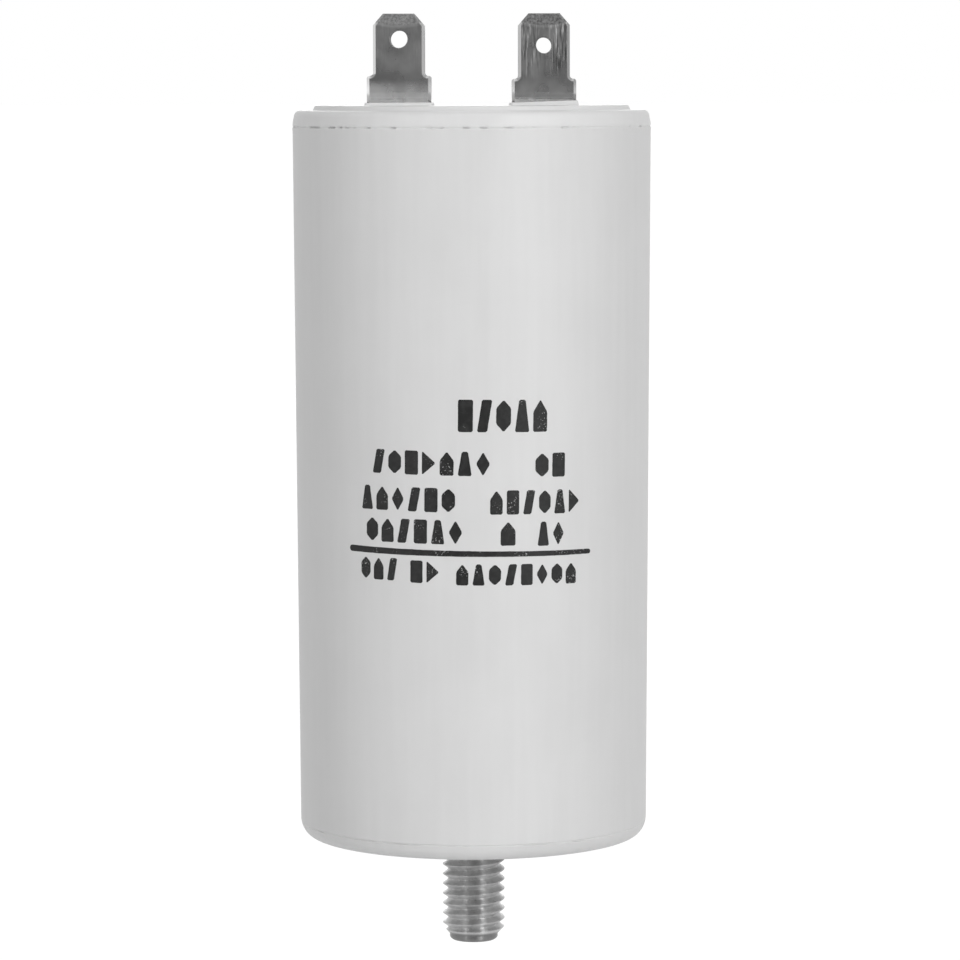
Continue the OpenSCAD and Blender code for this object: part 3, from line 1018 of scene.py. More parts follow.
@dataclass
class Can:
    """The tapered cup: its wall, parting line, weld rim, floor, boss and gussets."""

    plastic: bpy.types.Material
    bolt: BoltHead = BoltHead()
    seam: WeldSeam = WeldSeam()
    line: PartingLine = PartingLine()
    r_top: float = 22.5
    r_base: float = 21.9
    height: float = 89.6
    wall: float = 1.6
    floor: float = 2.5
    edge: Point = (1.8, 2.3)
    edge_sweep: float = 66.0
    edge_steps: int = 14
    floor_edge_r: float = 1.0
    boss_r: float = 10.0
    boss_top: float = 9.3
    boss_chamfer: float = 0.3
    relief_r: float = 4.6
    relief_h: float = 0.4
    relief_chamfer: float = 0.12
    gussets: int = 6
    gusset_t: float = 1.6
    gusset_h: float = 2.4
    groove: float = 0.13
    flash: float = 0.038
    flash_level: Point = (0.25, 1.6)
    wall_rows: Sequence[float] = (6.0, 20.0, 40.0, 60.0, 80.0)
    segments: int = 720

    @property
    def taper(self) -> float:
        """How much the wall's outside grows for each millimetre of height."""
        return (self.r_top - self.flash - self.r_base) / self.height

    def outer(self, z: float) -> float:
        """Radius of the can's outside at a height, with its rounded base edge.

        Args:
            z: The height.

        Returns:
            The radius.
        """
        across, up = self.edge
        low = clamped((up - z) / up)
        return self.r_base + self.taper * z - across * (1 - math.sqrt(1 - low ** 2))

    def bore(self, z: float) -> float:
        """Radius of the wall's inside at a height."""
        return self.outer(z) - self.wall

    def base_edge(self) -> Loop:
        """Rounded edge from the base face up to just under the parting line.

        Returns:
            Radius and height of its points.
        """
        up = self.edge[1]
        turns = [math.radians(-90 + self.edge_sweep * i / self.edge_steps)
                 for i in range(self.edge_steps + 1)]
        return [(self.outer(up + up * math.sin(a)), up + up * math.sin(a)) for a in turns]

    def weld_rim(self) -> list[Ring]:
        """The rim, where weld flash stands in small uneven beads under the groove.

        Returns:
            Its rings, upwards.
        """
        beads = ripple(1.7, 34.0, 4)
        opening = self.seam.opening()

        def bead(a: float) -> float:
            """Height of the flash at an angle, 0 to 1."""
            return clamped(beads(a) * self.flash_level[1] + self.flash_level[0])

        def ring(drop: float, share: float, depth: float) -> Ring:
            """One ring at a distance below the rim."""
            z = self.height - drop
            return lambda a: self.outer(z) + self.flash * share * bead(a) - depth * opening(a), z

        return [ring(0.75, 0.0, 0.0), ring(0.52, 0.25, 0.0), ring(0.38, 0.8, 0.0),
                ring(0.27, 1.0, 0.0), ring(0.17, 0.9, 0.02), ring(0.09, 0.3, 0.5 * self.groove),
                ring(0.0, 0.0, self.groove)]

    def shell(self) -> bpy.types.Object:
        """The cup as one closed mesh, from the bolt's seat round to the boss's top.

        Returns:
            The piece.
        """
        lower, upper = self.bolt.z
        six = hexagon(self.bolt.across_flats)
        corner = self.bore(self.floor + self.floor_edge_r) - self.floor_edge_r
        rings: list[Ring] = [
            (0, upper), (six, upper), (six, lower), (self.bolt.neck_r, lower),
            (self.bolt.neck_r, self.relief_h), (self.relief_r, self.relief_h),
            (self.relief_r, self.relief_chamfer), (self.relief_r + self.relief_chamfer, 0.0)]
        rings += self.base_edge()
        rings += self.line.rings(self.outer, self.r_base)
        rings += [(self.outer(z), z) for z in self.wall_rows]
        rings += self.weld_rim()
        rings += [(self.bore(self.height), self.height)]
        rings += arc((corner, self.floor + self.floor_edge_r), self.floor_edge_r, 0, -90, 6)
        rings += [(self.boss_r, self.floor), (self.boss_r, self.boss_top - self.boss_chamfer),
                  (self.boss_r - self.boss_chamfer, self.boss_top), (0, self.boss_top)]
        return new_piece("can_shell", lathe(rings, self.segments))

    def gusset_group(self) -> bpy.types.NodeTree:
        """Geometry group that turns one gusset round the boss.

        Returns:
            The group.
        """
        g = GeometryGroup("gusset_ring", ["Count"], takes_mesh=True)
        spread = g.node("GeometryNodeMeshLine", {"mode": "OFFSET"},
                        {"Count": g.take("Count"), "Offset": (0.0, 0.0, 0.0)})
        turn = g.node("GeometryNodeInputIndex") * (TURN / self.gussets)
        angle = g.node("ShaderNodeCombineXYZ", None, {2: turn})
        placed = g.node("GeometryNodeInstanceOnPoints", None,
                        {"Points": spread, "Instance": g.take("Geometry"), "Rotation": angle})
        return g.close(placed)

    def gusset(self) -> bpy.types.Object:
        """One gusset, from inside the boss into the wall, sloping down towards the wall.

        Returns:
            The piece.
        """
        near, far = self.boss_r / 2, self.bore(self.floor) + self.wall / 2
        low, high = self.floor / 2, self.bolt.z[1]
        side = [(near, low), (far, low), (far, self.floor + self.gusset_h), (self.boss_r, high),
                (near, high)]
        half = self.gusset_t / 2
        ends = [[(x, y, z) for x, z in side] for y in (-half, half)]
        return new_piece("gusset", capped(*ends))

    def build(self) -> None:
        """Builds the cup and dresses it."""
        cup = self.shell()
        ribs = self.gusset()
        run_group(ribs, self.gusset_group(), {"Count": float(self.gussets), "Material": self.plastic})
        carve(cup, [ribs], Cut.UNION)
        shade(cup.data)
        finish_piece(cup, self.plastic, ["case"])


# ---------------------------------------------------------------- lid


@dataclass
class Lid:
    """The cover: skirt, shoulder, raised face, two terminal seats, spigot, ribs and bosses."""

    plastic: bpy.types.Material
    can: Can
    r_skirt: float = 22.3
    skirt_h: float = 2.0
    shoulder_r: float = 0.8
    plateau_r: float = 19.8
    plateau_h: float = 0.6
    riser_drift: float = 0.02
    plate_t: float = 1.8
    groove: float = 0.11
    spigot_r: float = 20.75
    spigot_t: float = 1.4
    spigot_h: float = 4.0
    spigot_chamfer: float = 0.5
    rib_t: float = 1.2
    barrier_h: float = 2.6
    boss_r: float = 4.2
    boss_h: float = 1.2
    bore_r: float = 1.4
    seat_half: Point = (4.04, 4.04)
    seat_z: float = 92.3
    pad_half: Point = (4.26, 4.26)
    pad_top: float = 92.55
    pad_slope: float = 0.08
    pad_corner: float = 0.5
    pad_edge: float = 0.07
    rises: Point = (0.03, 0.26)
    rise_x: Point = (-3.0, 4.0)
    rise_y: float = -4.0
    pitch: float = 18.1
    segments: int = 720

    @property
    def rim_z(self) -> float:
        """Height of the can's rim, where the skirt stands."""
        return self.can.height

    @property
    def top(self) -> float:
        """Height of the shoulder, round the raised face."""
        return self.rim_z + self.skirt_h

    @property
    def under(self) -> float:
        """Height of the plate's underside."""
        return self.top - self.plate_t

    def skirt(self) -> list[Ring]:
        """The skirt's foot, which the weld's groove cuts into.

        Returns:
            Its rings, upwards.
        """
        opening = self.can.seam.opening()
        r_rim = self.can.outer(self.rim_z)

        def ring(depth: float, inwards: float, rise: float) -> Ring:
            """One ring at a distance above the rim."""
            return lambda a: r_rim - depth * opening(a) - inwards, self.rim_z + rise

        return [ring(self.groove, 0.0, 0.0), ring(0.45 * self.groove, 0.0, 0.08),
                ring(0.0, 0.0, 0.18), ring(0.0, 0.02, 0.5)]

    def riser(self) -> list[Ring]:
        """The slope up to the raised face, which wanders a little.

        Returns:
            Its rings, upwards.
        """
        drift = ripple(6.1, 2.4)

        def ring(out: float, up: float) -> Ring:
            """One ring of the slope."""
            return lambda a: self.plateau_r + out + self.riser_drift * drift(a), self.top + up

        return [ring(0.26, 0.0), ring(0.15, 0.03), ring(0.08, 0.10), ring(-0.10, 0.46), ring(-0.16, 0.55),
                ring(-0.27, self.plateau_h)]

    def shell(self) -> bpy.types.Object:
        """Skirt, plate and spigot as one closed mesh.

        Returns:
            The piece.
        """
        foot = self.rim_z - self.spigot_h
        inner = self.spigot_r - self.spigot_t
        rings: list[Ring] = [
            (0, self.under), (inner, self.under), (inner, foot),
            (self.spigot_r - self.spigot_chamfer, foot),
            (self.spigot_r, foot + self.spigot_chamfer), (self.spigot_r, self.rim_z)]
        rings += self.skirt()
        shoulder = (self.r_skirt - self.shoulder_r, self.top - self.shoulder_r)
        rings += arc(shoulder, self.shoulder_r, 0, 90, 10)
        rings += self.riser()
        rings.append((0, self.top + self.plateau_h))
        return new_piece("lid_shell", lathe(rings, self.segments))

    def pad(self, side: int) -> bpy.types.Object:
        """One raised seat with sloped, rounded sides. Its front rim rises towards one end.

        Args:
            side: -1 for the left seat, 1 for the right one.

        Returns:
            The seat as a tool.
        """
        foot = self.top + self.plateau_h / 2
        slope = self.pad_slope * (self.pad_top - foot) / (self.pad_top - self.top - self.plateau_h)
        loops = []
        for grow, z in ((slope, foot), (0.0, self.pad_top)):
            hx, hy = (h + grow for h in self.pad_half)
            loops.append([(-hx, -hy, z), (hx, -hy, z), (hx, hy, z), (-hx, hy, z)])
        bm = capped(*loops)
        upright = [e for e in bm.edges if abs(e.verts[0].co.z - e.verts[1].co.z) > 0.1]
        bmesh.ops.bevel(bm, geom=upright, offset=self.pad_corner, segments=6, profile=0.5, affect="EDGES")
        rim = [e for e in bm.edges if all(v.co.z > self.pad_top - 0.01 for v in e.verts)
               and any(abs(f.normal.z) < 0.97 for f in e.link_faces)]
        bmesh.ops.bevel(bm, geom=rim, offset=self.pad_edge, segments=2, profile=0.5, affect="EDGES")
        rise = self.rises[0 if side < 0 else 1]
        start, full = self.rise_x
        for v in bm.verts:
            if v.co.z > foot + 0.1 and v.co.y < self.rise_y:
                v.co.z += rise * clamped((v.co.x - start) / (full - start))
        bmesh.ops.translate(bm, vec=(side * self.pitch / 2, 0.0, 0.0), verts=bm.verts)
        return new_piece("pad", bm)

    @staticmethod
    def block(low: Place, high: Place) -> bpy.types.Object:
        """A box between two corners, as a tool to join or cut with.

        Args:
            low: Its lowest corner.
            high: Its highest corner.

        Returns:
            The tool.
        """
        bm = bmesh.new()
        bmesh.ops.create_cube(bm, size=1.0)
        for v in bm.verts:
            v.co = Vector([lo if c < 0 else hi for c, lo, hi in zip(v.co, low, high)])
        return new_piece("block", bm)

    @staticmethod
    def barrel(x: float, radius: float, low: float, high: float) -> bpy.types.Object:
        """A round upright tool to join or cut with.

        Args:
            x: Place of its axis.
            radius: Its radius.
            low: Height of its lower end.
            high: Height of its upper end.

        Returns:
            The tool.
        """
        bm = lathe([(0, low), (radius, low), (radius, high), (0, high)], 96)
        bmesh.ops.translate(bm, vec=(x, 0.0, 0.0), verts=bm.verts)
        return new_piece("barrel", bm)

    def build(self) -> None:
        """Builds the lid and dresses it."""
        lid = self.shell()
        under = self.under
        middle_r = self.spigot_r - self.spigot_t / 2
        reach = math.sqrt(middle_r ** 2 - (self.pitch / 2 + self.rib_t) ** 2)
        sides = [s * self.pitch / 2 for s in (-1, 1)]
        ribs = [(0.0, self.barrier_h, middle_r - 0.1)]
        ribs += [(x, self.boss_h - 0.1, reach) for x in sides]
        half = self.rib_t / 2
        grown = [self.block((x - half, -y, under - h), (x + half, y, under + 0.5)) for x, h, y in ribs]
        grown += [self.barrel(x, self.boss_r, under - self.boss_h, under + 0.6) for x in sides]
        grown += [self.pad(s) for s in (-1, 1)]
        carve(lid, grown, Cut.UNION)
        hx, hy = self.seat_half
        sunk = [self.block((x - hx, -hy, self.seat_z), (x + hx, hy, self.seat_z + 3)) for x in sides]
        sunk += [self.barrel(x, self.bore_r, under - 5, self.seat_z + 1) for x in sides]
        carve(lid, sunk, Cut.DIFFERENCE)
        shade(lid.data)
        finish_piece(lid, self.plastic, ["lid"])


# ---------------------------------------------------------------- stud


@dataclass
class Stud:
    """The bolt: rolled thread with a rounded end, plain neck and hexagonal head."""

    metal: bpy.types.Material
    bolt: BoltHead
    length: float = 13.7
    crest_r: float = 3.985
    root_r: float = 3.20
    thread_pitch: float = 1.25
    phase: float = 0.23
    crest_flat: float = 0.05
    flank: float = 0.82
    crest_round: float = 0.30
    root_round: float = 0.55
    end_r: float = 2.7
    core_r: float = 3.05
    end_h: float = 0.42
    start_h: float = 0.75
    start_slope: float = 0.95
    plug_inset: float = 0.2
    plug_z: Point = (-0.9, -0.06)
    head_chamfer: Point = (1.03, 0.5)
    sides: int = 160
    rows_per_pitch: int = 20

    def thread_group(self) -> bpy.types.NodeTree:
        """Geometry group that displaces a cylinder into a thread, by height and angle.

        Returns:
            The group.
        """
        names = ["Length", "Crest", "Root", "Pitch", "Phase", "End radius", "Core radius", "End height"]
        g = GeometryGroup("rolled_thread", names)
        length, crest, root, pitch, phase, end_r, core_r, end_h = (g.take(n) for n in names)
        rows = (length / pitch * self.rows_per_pitch).maths("ROUND")
        rod = g.node("GeometryNodeMeshCylinder", {"fill_type": "NGON"},
                     {"Vertices": self.sides, "Side Segments": rows, "Radius": 1.0, "Depth": length})
        here = g.node("GeometryNodeInputPosition")
        axes = g.node("ShaderNodeSeparateXYZ", None, {0: here})
        z = axes.part("Z") - length * 0.5
        angle = axes.part("Y").maths("ARCTAN2", axes)
        turns = (z / pitch - angle / TURN + phase).maths("FRACT")
        off_crest = (turns - 0.5).maths("ABSOLUTE") * 2.0
        flank = crest - (off_crest - self.crest_flat) * (crest - root) / self.flank
        blunt = flank.maths("SMOOTH_MIN", crest, self.crest_round)
        rounded = blunt.maths("SMOOTH_MAX", root, self.root_round)
        above = z + length
        near_end = (1.0 - above / end_h).most(0.0)
        dome = 1.0 - near_end * near_end * (1.0 - (end_r / core_r) ** 2.0)
        limit = core_r * dome.maths("SQRT") + (above - self.start_h).most(0.0) * self.start_slope
        radius = rounded.least(limit)
        cosine, sine = angle.maths("COSINE"), angle.maths("SINE")
        moved = g.node("ShaderNodeCombineXYZ", None, {0: radius * cosine, 1: radius * sine, 2: z})
        shape = g.node("GeometryNodeSetPosition", None, {"Geometry": rod, "Position": moved})
        scaled = g.node("GeometryNodeTransform", None, {"Geometry": shape, "Scale": (MM, MM, MM)})
        return g.close(scaled)

    def head(self) -> bpy.types.Object:
        """Neck and hexagonal head, inside the can, with a plug that joins them to the thread.

        Returns:
            The piece.
        """
        low, high = self.bolt.z
        foot, neck_z = self.plug_z
        plug_r = self.root_r - self.plug_inset
        over, chamfer_h = self.head_chamfer
        six = hexagon(self.bolt.across_flats)

        def chamfered(a: float) -> float:
            """Radius of the head's top at an angle."""
            return min(six(a), self.bolt.across_flats / 2 * over)

        rings: list[Ring] = [
            (0, foot), (plug_r, foot), (plug_r, neck_z), (self.bolt.neck_r, neck_z),
            (self.bolt.neck_r, low), (six, low), (six, high - chamfer_h), (chamfered, high), (0, high)]
        return new_piece("head", lathe(rings, 96))

    def build(self) -> None:
        """Builds the bolt and dresses it."""
        bolt = linked("stud_bolt", bpy.data.meshes.new("stud_bolt"))
        run_group(bolt, self.thread_group(), {
            "Length": self.length, "Crest": self.crest_r, "Root": self.root_r,
            "Pitch": self.thread_pitch, "Phase": self.phase, "End radius": self.end_r,
            "Core radius": self.core_r, "End height": self.end_h, "Material": self.metal})
        carve(bolt, [self.head()], Cut.UNION)
        shade(bolt.data, 40.0)
        finish_piece(bolt, self.metal, ["stud"])


# ---------------------------------------------------------------- terminals


@dataclass
class Tab:
    """One terminal: a stamped strip with two upright blades, bent up from a riveted base."""

    side: str
    shoulder_h: float
    hole_d: float
    hole_drop: float
    wear: TabWearAndPaintedLight
    blade_w: float = 6.4
    strip_w: float = 8.0
    thick: float = 0.8
    span: float = 8.0
    bend_r: float = 0.8
    tip_h: float = 11.3
    tip_cut: Point = (1.25, 1.45)
    lead_in: Point = (0.15, 1.25)
    fillet_r: float = 0.4
    corner_r: float = 0.35
    rivet_d: float = 2.8
    coined: Point = (0.34, 0.27)
    coined_middle: Point = (0.16, 0.86)
    hole_edge: float = 0.07
    tip_sharp: float = 0.7
    bend_steps: int = 10
    sharp_deg: float = 24.0

    def path(self) -> tuple[float, float, float]:
        """Distances along the strip, from its middle, to a bend, past it, and to a tip.

        Returns:
            The three distances.
        """
        mid_r = self.bend_r + self.thick / 2
        flat = self.span / 2 - self.thick - self.bend_r
        upright = flat + math.pi / 2 * mid_r
        return flat, upright, upright + self.tip_h - self.thick - self.bend_r

    def along(self, height: float) -> float:
        """Distance along the strip to a height above its underside."""
        return self.path()[1] + height - self.thick - self.bend_r

    def half_outline(self) -> Loop:
        """Outline of one blade from the strip's middle, on its right side up to its tip.

        Returns:
            Its points.
        """
        tip = self.path()[2]
        shoulder = self.along(self.shoulder_h)
        half, wide = self.blade_w / 2, self.strip_w / 2
        cut_w, cut_h = self.tip_cut
        points = arc((wide - self.corner_r, shoulder - self.corner_r), self.corner_r, 0, 90, 5)
        points += arc((half + self.fillet_r, shoulder + self.fillet_r), self.fillet_r, 270, 180, 5)
        points += [(half, shoulder + 2.0), (half, tip - cut_h - 1.0), (half, tip - cut_h),
                   (half - cut_w, tip)]
        return points

    def outline(self) -> Loop:
        """Outline of the whole flat strip.

        Returns:
            Its points, anticlockwise.
        """
        right = self.half_outline()
        lower_right = [(x, -y) for x, y in reversed(right)]
        left = [(-x, y) for x, y in reversed(right)]
        lower_left = [(-x, -y) for x, y in right]
        return right + left + lower_left + lower_right

    def inset(self, loop: Loop, amount: float) -> Loop:
        """Moves an anticlockwise loop inwards, corner by corner, and less at the tips.

        Args:
            loop: The loop.
            amount: How far it moves.

        Returns:
            The moved loop.
        """
        end = self.path()[2] - 0.01
        moved = []
        for i, here in enumerate(loop):
            before, after = loop[i - 1], loop[(i + 1) % len(loop)]
            a = Vector((here[0] - before[0], here[1] - before[1])).normalized()
            b = Vector((after[0] - here[0], after[1] - here[1])).normalized()
            normal = Vector((-a.y - b.y, a.x + b.x))
            share = amount / max(normal.normalized().dot(Vector((-a.y, a.x))), 0.3)
            step = normal.normalized() * share
            kept = 1 - self.tip_sharp if abs(here[1]) > end else 1
            moved.append((here[0] + step.x, here[1] + step.y * kept))
        return moved

    def blank(self) -> bmesh.types.BMesh:
        """The flat blank, with coined edges: x across, y along the strip, z through it.

        Returns:
            The mesh.
        """
        reach = self.path()[2] - self.hole_drop
        holes = [(-reach, self.hole_d / 2), (reach, self.hole_d / 2), (0.0, self.rivet_d / 2)]
        half = self.thick / 2
        bm = bmesh.new()
        caps = []
        loops = [(self.outline(), *self.coined)]
        loops += [(arc((0.0, y), -r, 0, -360, 32)[:-1], self.hole_edge, self.hole_edge) for y, r in holes]
        across, down = self.coined_middle
        for loop, wide, deep in loops:
            layers = [(wide, half), (wide * across, half - deep * down), (0.0, half - deep)]
            layers += [(w, -z) for w, z in reversed(layers)]
            rows = [[bm.verts.new((x, y, z)) for x, y in self.inset(loop, w)] for w, z in layers]
            for low, high in zip(rows, rows[1:]):
                skin(bm, low, high)
            caps.append([[bm.edges.get(pair) for pair in around(row)] for row in (rows[-1], rows[0])])
        for edges in zip(*caps):
            filled(bm, [edge for row in edges for edge in row])
        return bm

    def scored(self, bm: bmesh.types.BMesh) -> None:
        """Cuts rows of edges across the blank where it will bend and where its tips thin.

        Args:
            bm: The blank.
        """
        flat, upright, tip = self.path()
        rows = [flat + (upright - flat) * i / self.bend_steps for i in range(self.bend_steps + 1)]
        rows += [tip - self.lead_in[1], tip - self.lead_in[1] * 0.8]
        for row in rows:
            for sign in (-1, 1):
                score(bm, (0, sign * row, 0), (0, 1, 0))

    def bent(self, at: Vector, centre_x: float, seat_z: float) -> Vector:
        """Place of a point of the blank on the bent strip.

        Args:
            at: The point: across the strip, along it, and outwards from its middle layer.
            centre_x: Middle of the terminal.
            seat_z: Height of the strip's underside.

        Returns:
            The point, in millimetres.
        """
        flat, upright, tip = self.path()
        side, far = (1.0 if at.y >= 0 else -1.0), abs(at.y)
        mid_r = self.bend_r + self.thick / 2
        mid_z = seat_z + self.thick / 2
        thin, reach = self.lead_in
        past = max(far - (tip - reach), 0.0) / reach
        through = at.z * (1 - thin * 2 / self.thick * past)
        if far <= flat:
            y, z = far, mid_z - through
        elif far <= upright:
            turn = (far - flat) / mid_r
            y = flat + (mid_r + through) * math.sin(turn)
            z = mid_z + mid_r - (mid_r + through) * math.cos(turn)
        else:
            y, z = flat + mid_r + through, mid_z + mid_r + far - upright
        return Vector((centre_x + at.x, -side * y, z))

    def build(self) -> None:
        """Builds the terminal and dresses it."""
        node = "terminal_" + self.side
        low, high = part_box(node)
        centre_x = (low.x + high.x) / 2 / MM
        tip_z = high.z / MM
        seat_z = tip_z - self.tip_h
        face = TabFace(middle_x=centre_x, seat_z=seat_z, tip_z=tip_z, shoulder_z=seat_z + self.shoulder_h,
                       hole_z=tip_z - self.hole_drop, half_w=self.blade_w / 2,
                       half_foot=self.strip_w / 2, coined=self.coined[0])
        bm = self.blank()
        self.scored(bm)
        for v in bm.verts:
            v.co = self.bent(v.co, centre_x, seat_z)
        tab = new_piece("tab_" + self.side, bm, self.sharp_deg)
        metal = TinnedStrip("tinned_strip_" + self.side, face, self.wear).build()
        finish_piece(tab, metal, [node])


@dataclass
class Rivet:
    """A hollow rivet: domed and flared head, shank and clinched foot.

    Points of the mouth, the brim and the foot's rim are steps outwards and heights.
    """

    side: str
    metal: bpy.types.Material
    shank_r: float = 1.4
    bore_r: float = 0.9
    head_r: float = 2.3
    head_h: float = 0.6
    foot_r: float = 2.2
    foot_h: float = 0.5
    mouth: Sequence[Point] = ((0.0, -0.42), (0.05, -0.2), (0.2, -0.05), (0.42, 0.0))
    brim: Sequence[Point] = ((-0.68, -0.03), (-0.35, -0.13), (-0.12, -0.3), (0.0, -0.47), (-0.04, -0.6))
    foot_rim: Sequence[Point] = ((-0.1, 0.5), (0.0, 0.38), (-0.12, 0.12), (-0.5, 0.0))

    def build(self) -> None:
        """Builds the rivet and dresses it."""
        node = "rivet_" + self.side
        low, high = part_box(node)
        x = (low.x + high.x) / 2 / MM
        foot, top = low.z / MM, high.z / MM
        rings: list[Ring] = [(self.bore_r, foot)]
        rings += [(self.bore_r + out, top + up) for out, up in self.mouth]
        rings += [(self.head_r + out, top + up) for out, up in self.brim]
        rings += [(self.shank_r, top - self.head_h), (self.shank_r, foot + self.foot_h)]
        rings += [(self.foot_r + out, foot + up) for out, up in self.foot_rim]
        bm = lathe(rings, 96, loop=True)
        bmesh.ops.translate(bm, vec=(x, 0.0, 0.0), verts=bm.verts)
        finish_piece(new_piece("rivet_cap_" + self.side, bm), self.metal, [node])


# ---------------------------------------------------------------- print


class Mark(Enum):
    """A plain solid shape that stands in the print. It says nothing."""

    BLOCK = "block"
    LEAN = "slanted block"
    DIAMOND = "diamond"
    HEXAGON = "hexagon"
    ARROWHEAD = "triangle that points round the can"
    HOUSE = "block with a pointed top"
    TAPER = "block that narrows upwards"


@dataclass(frozen=True)
class Row:
    """One group of marks in the print."""

    left: float
    middle_z: float
    width: float
    height: float
    marks: Sequence[Mark]


@dataclass
class PrintBlock:
    """Plain marks in black ink on the can's front, wrapped on its wall."""

    ink: bpy.types.Material
    can: Can
    tilt: float = -0.0121
    thickness: float = 0.016
    sunk: float = 0.006
    spread: float = 0.022
    spread_scale: float = 2.3
    spread_seed: int = 7
    spread_slice: float = 0.7
    corner_r: float = 0.16
    corner_share: float = 0.4
    gap: float = 0.5
    middle_z: float = 45.0
    point_step: float = 0.22
    strip_step: float = 0.5
    rule_span: Point = (-16.5, 15.85)
    rule_z: float = 37.93
    rule_t: float = 0.6
    rule_swell: float = 1.3
    rule_lift: float = 0.05
    rows: Sequence[Row] = (
        Row(-1.84, 54.80, 11.10, 3.95, [Mark.BLOCK, Mark.LEAN, Mark.HEXAGON, Mark.TAPER, Mark.HOUSE]),
        Row(-12.88, 48.95, 15.00, 2.95, [Mark.LEAN, Mark.HEXAGON, Mark.BLOCK, Mark.ARROWHEAD,
                                         Mark.HOUSE, Mark.TAPER, Mark.DIAMOND]),
        Row(7.79, 48.75, 4.00, 2.95, [Mark.HEXAGON, Mark.BLOCK]),
        Row(-14.50, 44.45, 12.40, 2.95, [Mark.TAPER, Mark.HOUSE, Mark.DIAMOND, Mark.LEAN,
                                         Mark.BLOCK, Mark.HEXAGON]),
        Row(2.17, 44.25, 11.80, 2.95, [Mark.HOUSE, Mark.BLOCK, Mark.LEAN, Mark.HEXAGON, Mark.TAPER,
                                       Mark.ARROWHEAD]),
        Row(-13.78, 40.55, 12.60, 2.95, [Mark.HEXAGON, Mark.HOUSE, Mark.LEAN, Mark.BLOCK,
                                         Mark.TAPER, Mark.DIAMOND]),
        Row(3.51, 40.45, 1.85, 2.95, [Mark.HOUSE]),
        Row(8.20, 40.35, 3.55, 2.95, [Mark.TAPER, Mark.DIAMOND]),
        Row(-14.60, 35.75, 5.20, 2.75, [Mark.HEXAGON, Mark.HOUSE, Mark.LEAN]),
        Row(-7.65, 35.62, 3.66, 2.75, [Mark.BLOCK, Mark.ARROWHEAD]),
        Row(-1.89, 35.40, 15.50, 2.60, [Mark.HOUSE, Mark.TAPER, Mark.HEXAGON, Mark.LEAN, Mark.BLOCK,
                                        Mark.DIAMOND, Mark.HEXAGON, Mark.HOUSE]),
    )

    def cornered(self, points: Loop) -> Loop:
        """A loop whose corners are cut short, so that they read as rounded.

        Args:
            points: The loop.

        Returns:
            The cut loop, with two points for each corner.
        """
        cut = []
        for i, here in enumerate(points):
            for other in (points[i - 1], points[(i + 1) % len(points)]):
                gap = Vector((other[0] - here[0], other[1] - here[1]))
                step = gap.normalized() * min(self.corner_r, gap.length * self.corner_share)
                cut.append((here[0] + step.x, here[1] + step.y))
        return cut

    def shape(self, mark: Mark, w: float, h: float) -> Loop:
        """Outline of a mark in a cell whose corner is at 0, 0.

        Args:
            mark: Which mark.
            w: The cell's width.
            h: The cell's height.

        Returns:
            The outline.
        """
        points = {
            Mark.BLOCK: [(0, 0), (1, 0), (1, 1), (0, 1)],
            Mark.LEAN: [(0, 0), (0.68, 0), (1, 1), (0.32, 1)],
            Mark.DIAMOND: [(0, 0.5), (0.5, 0), (1, 0.5), (0.5, 1)],
            Mark.HEXAGON: [(0, 0.26), (0.5, 0), (1, 0.26), (1, 0.74), (0.5, 1), (0, 0.74)],
            Mark.ARROWHEAD: [(0, 0), (1, 0.5), (0, 1)],
            Mark.HOUSE: [(0, 0), (1, 0), (1, 0.62), (0.5, 1), (0, 0.62)],
            Mark.TAPER: [(0, 0), (1, 0), (0.72, 1), (0.28, 1)],
        }[mark]
        return self.cornered([(x * w, y * h) for x, y in points])

    def worn(self, loop: Loop) -> Loop:
        """A loop with more points, moved a little, as ink spreads.

        Args:
            loop: The loop.

        Returns:
            The moved loop.
        """
        moved = []
        for here, there in around(loop):
            steps = max(1, round(math.dist(here, there) / self.point_step))
            for k in range(steps):
                x, y = (a + (b - a) * k / steps for a, b in zip(here, there))
                at = Vector((x * self.spread_scale, y * self.spread_scale, self.spread_slice))
                push = noise.noise_vector(at)
                moved.append((x + push.x * self.spread, y + push.y * self.spread))
        return moved

    def cells(self, row: Row) -> list[tuple[Mark, float, float]]:
        """Place and width of each mark of a row.

        Args:
            row: The row.

        Returns:
            Each mark with its left side and its width.
        """
        count = len(row.marks)
        width = (row.width - self.gap * (count - 1)) / count
        return [(mark, row.left + i * (width + self.gap), width) for i, mark in enumerate(row.marks)]

    def flat_print(self, shapes: Iterable[Loop], name: str) -> bpy.types.Object:
        """Shapes in the plane as thin closed slabs: x round the can, y up it.

        Args:
            shapes: Their outlines.
            name: The piece's name.

        Returns:
            The flat piece, in metres.
        """
        bm = bmesh.new()
        for loop in shapes:
            ring = [bm.verts.new((x, y, 0.0)) for x, y in self.worn(loop)]
            filled(bm, [bm.edges.new(pair) for pair in around(ring)])
        low = min(v.co.x for v in bm.verts)
        high = max(v.co.x for v in bm.verts)
        for i in range(1, int((high - low) / self.strip_step)):
            score(bm, (low + i * self.strip_step, 0, 0), (1, 0, 0))
        bmesh.ops.recalc_face_normals(bm, faces=bm.faces)
        top = bmesh.ops.extrude_face_region(bm, geom=list(bm.faces))
        lifted = [v for v in top["geom"] if isinstance(v, bmesh.types.BMVert)]
        bmesh.ops.translate(bm, vec=(0, 0, self.thickness), verts=lifted)
        return new_piece(name, bm)

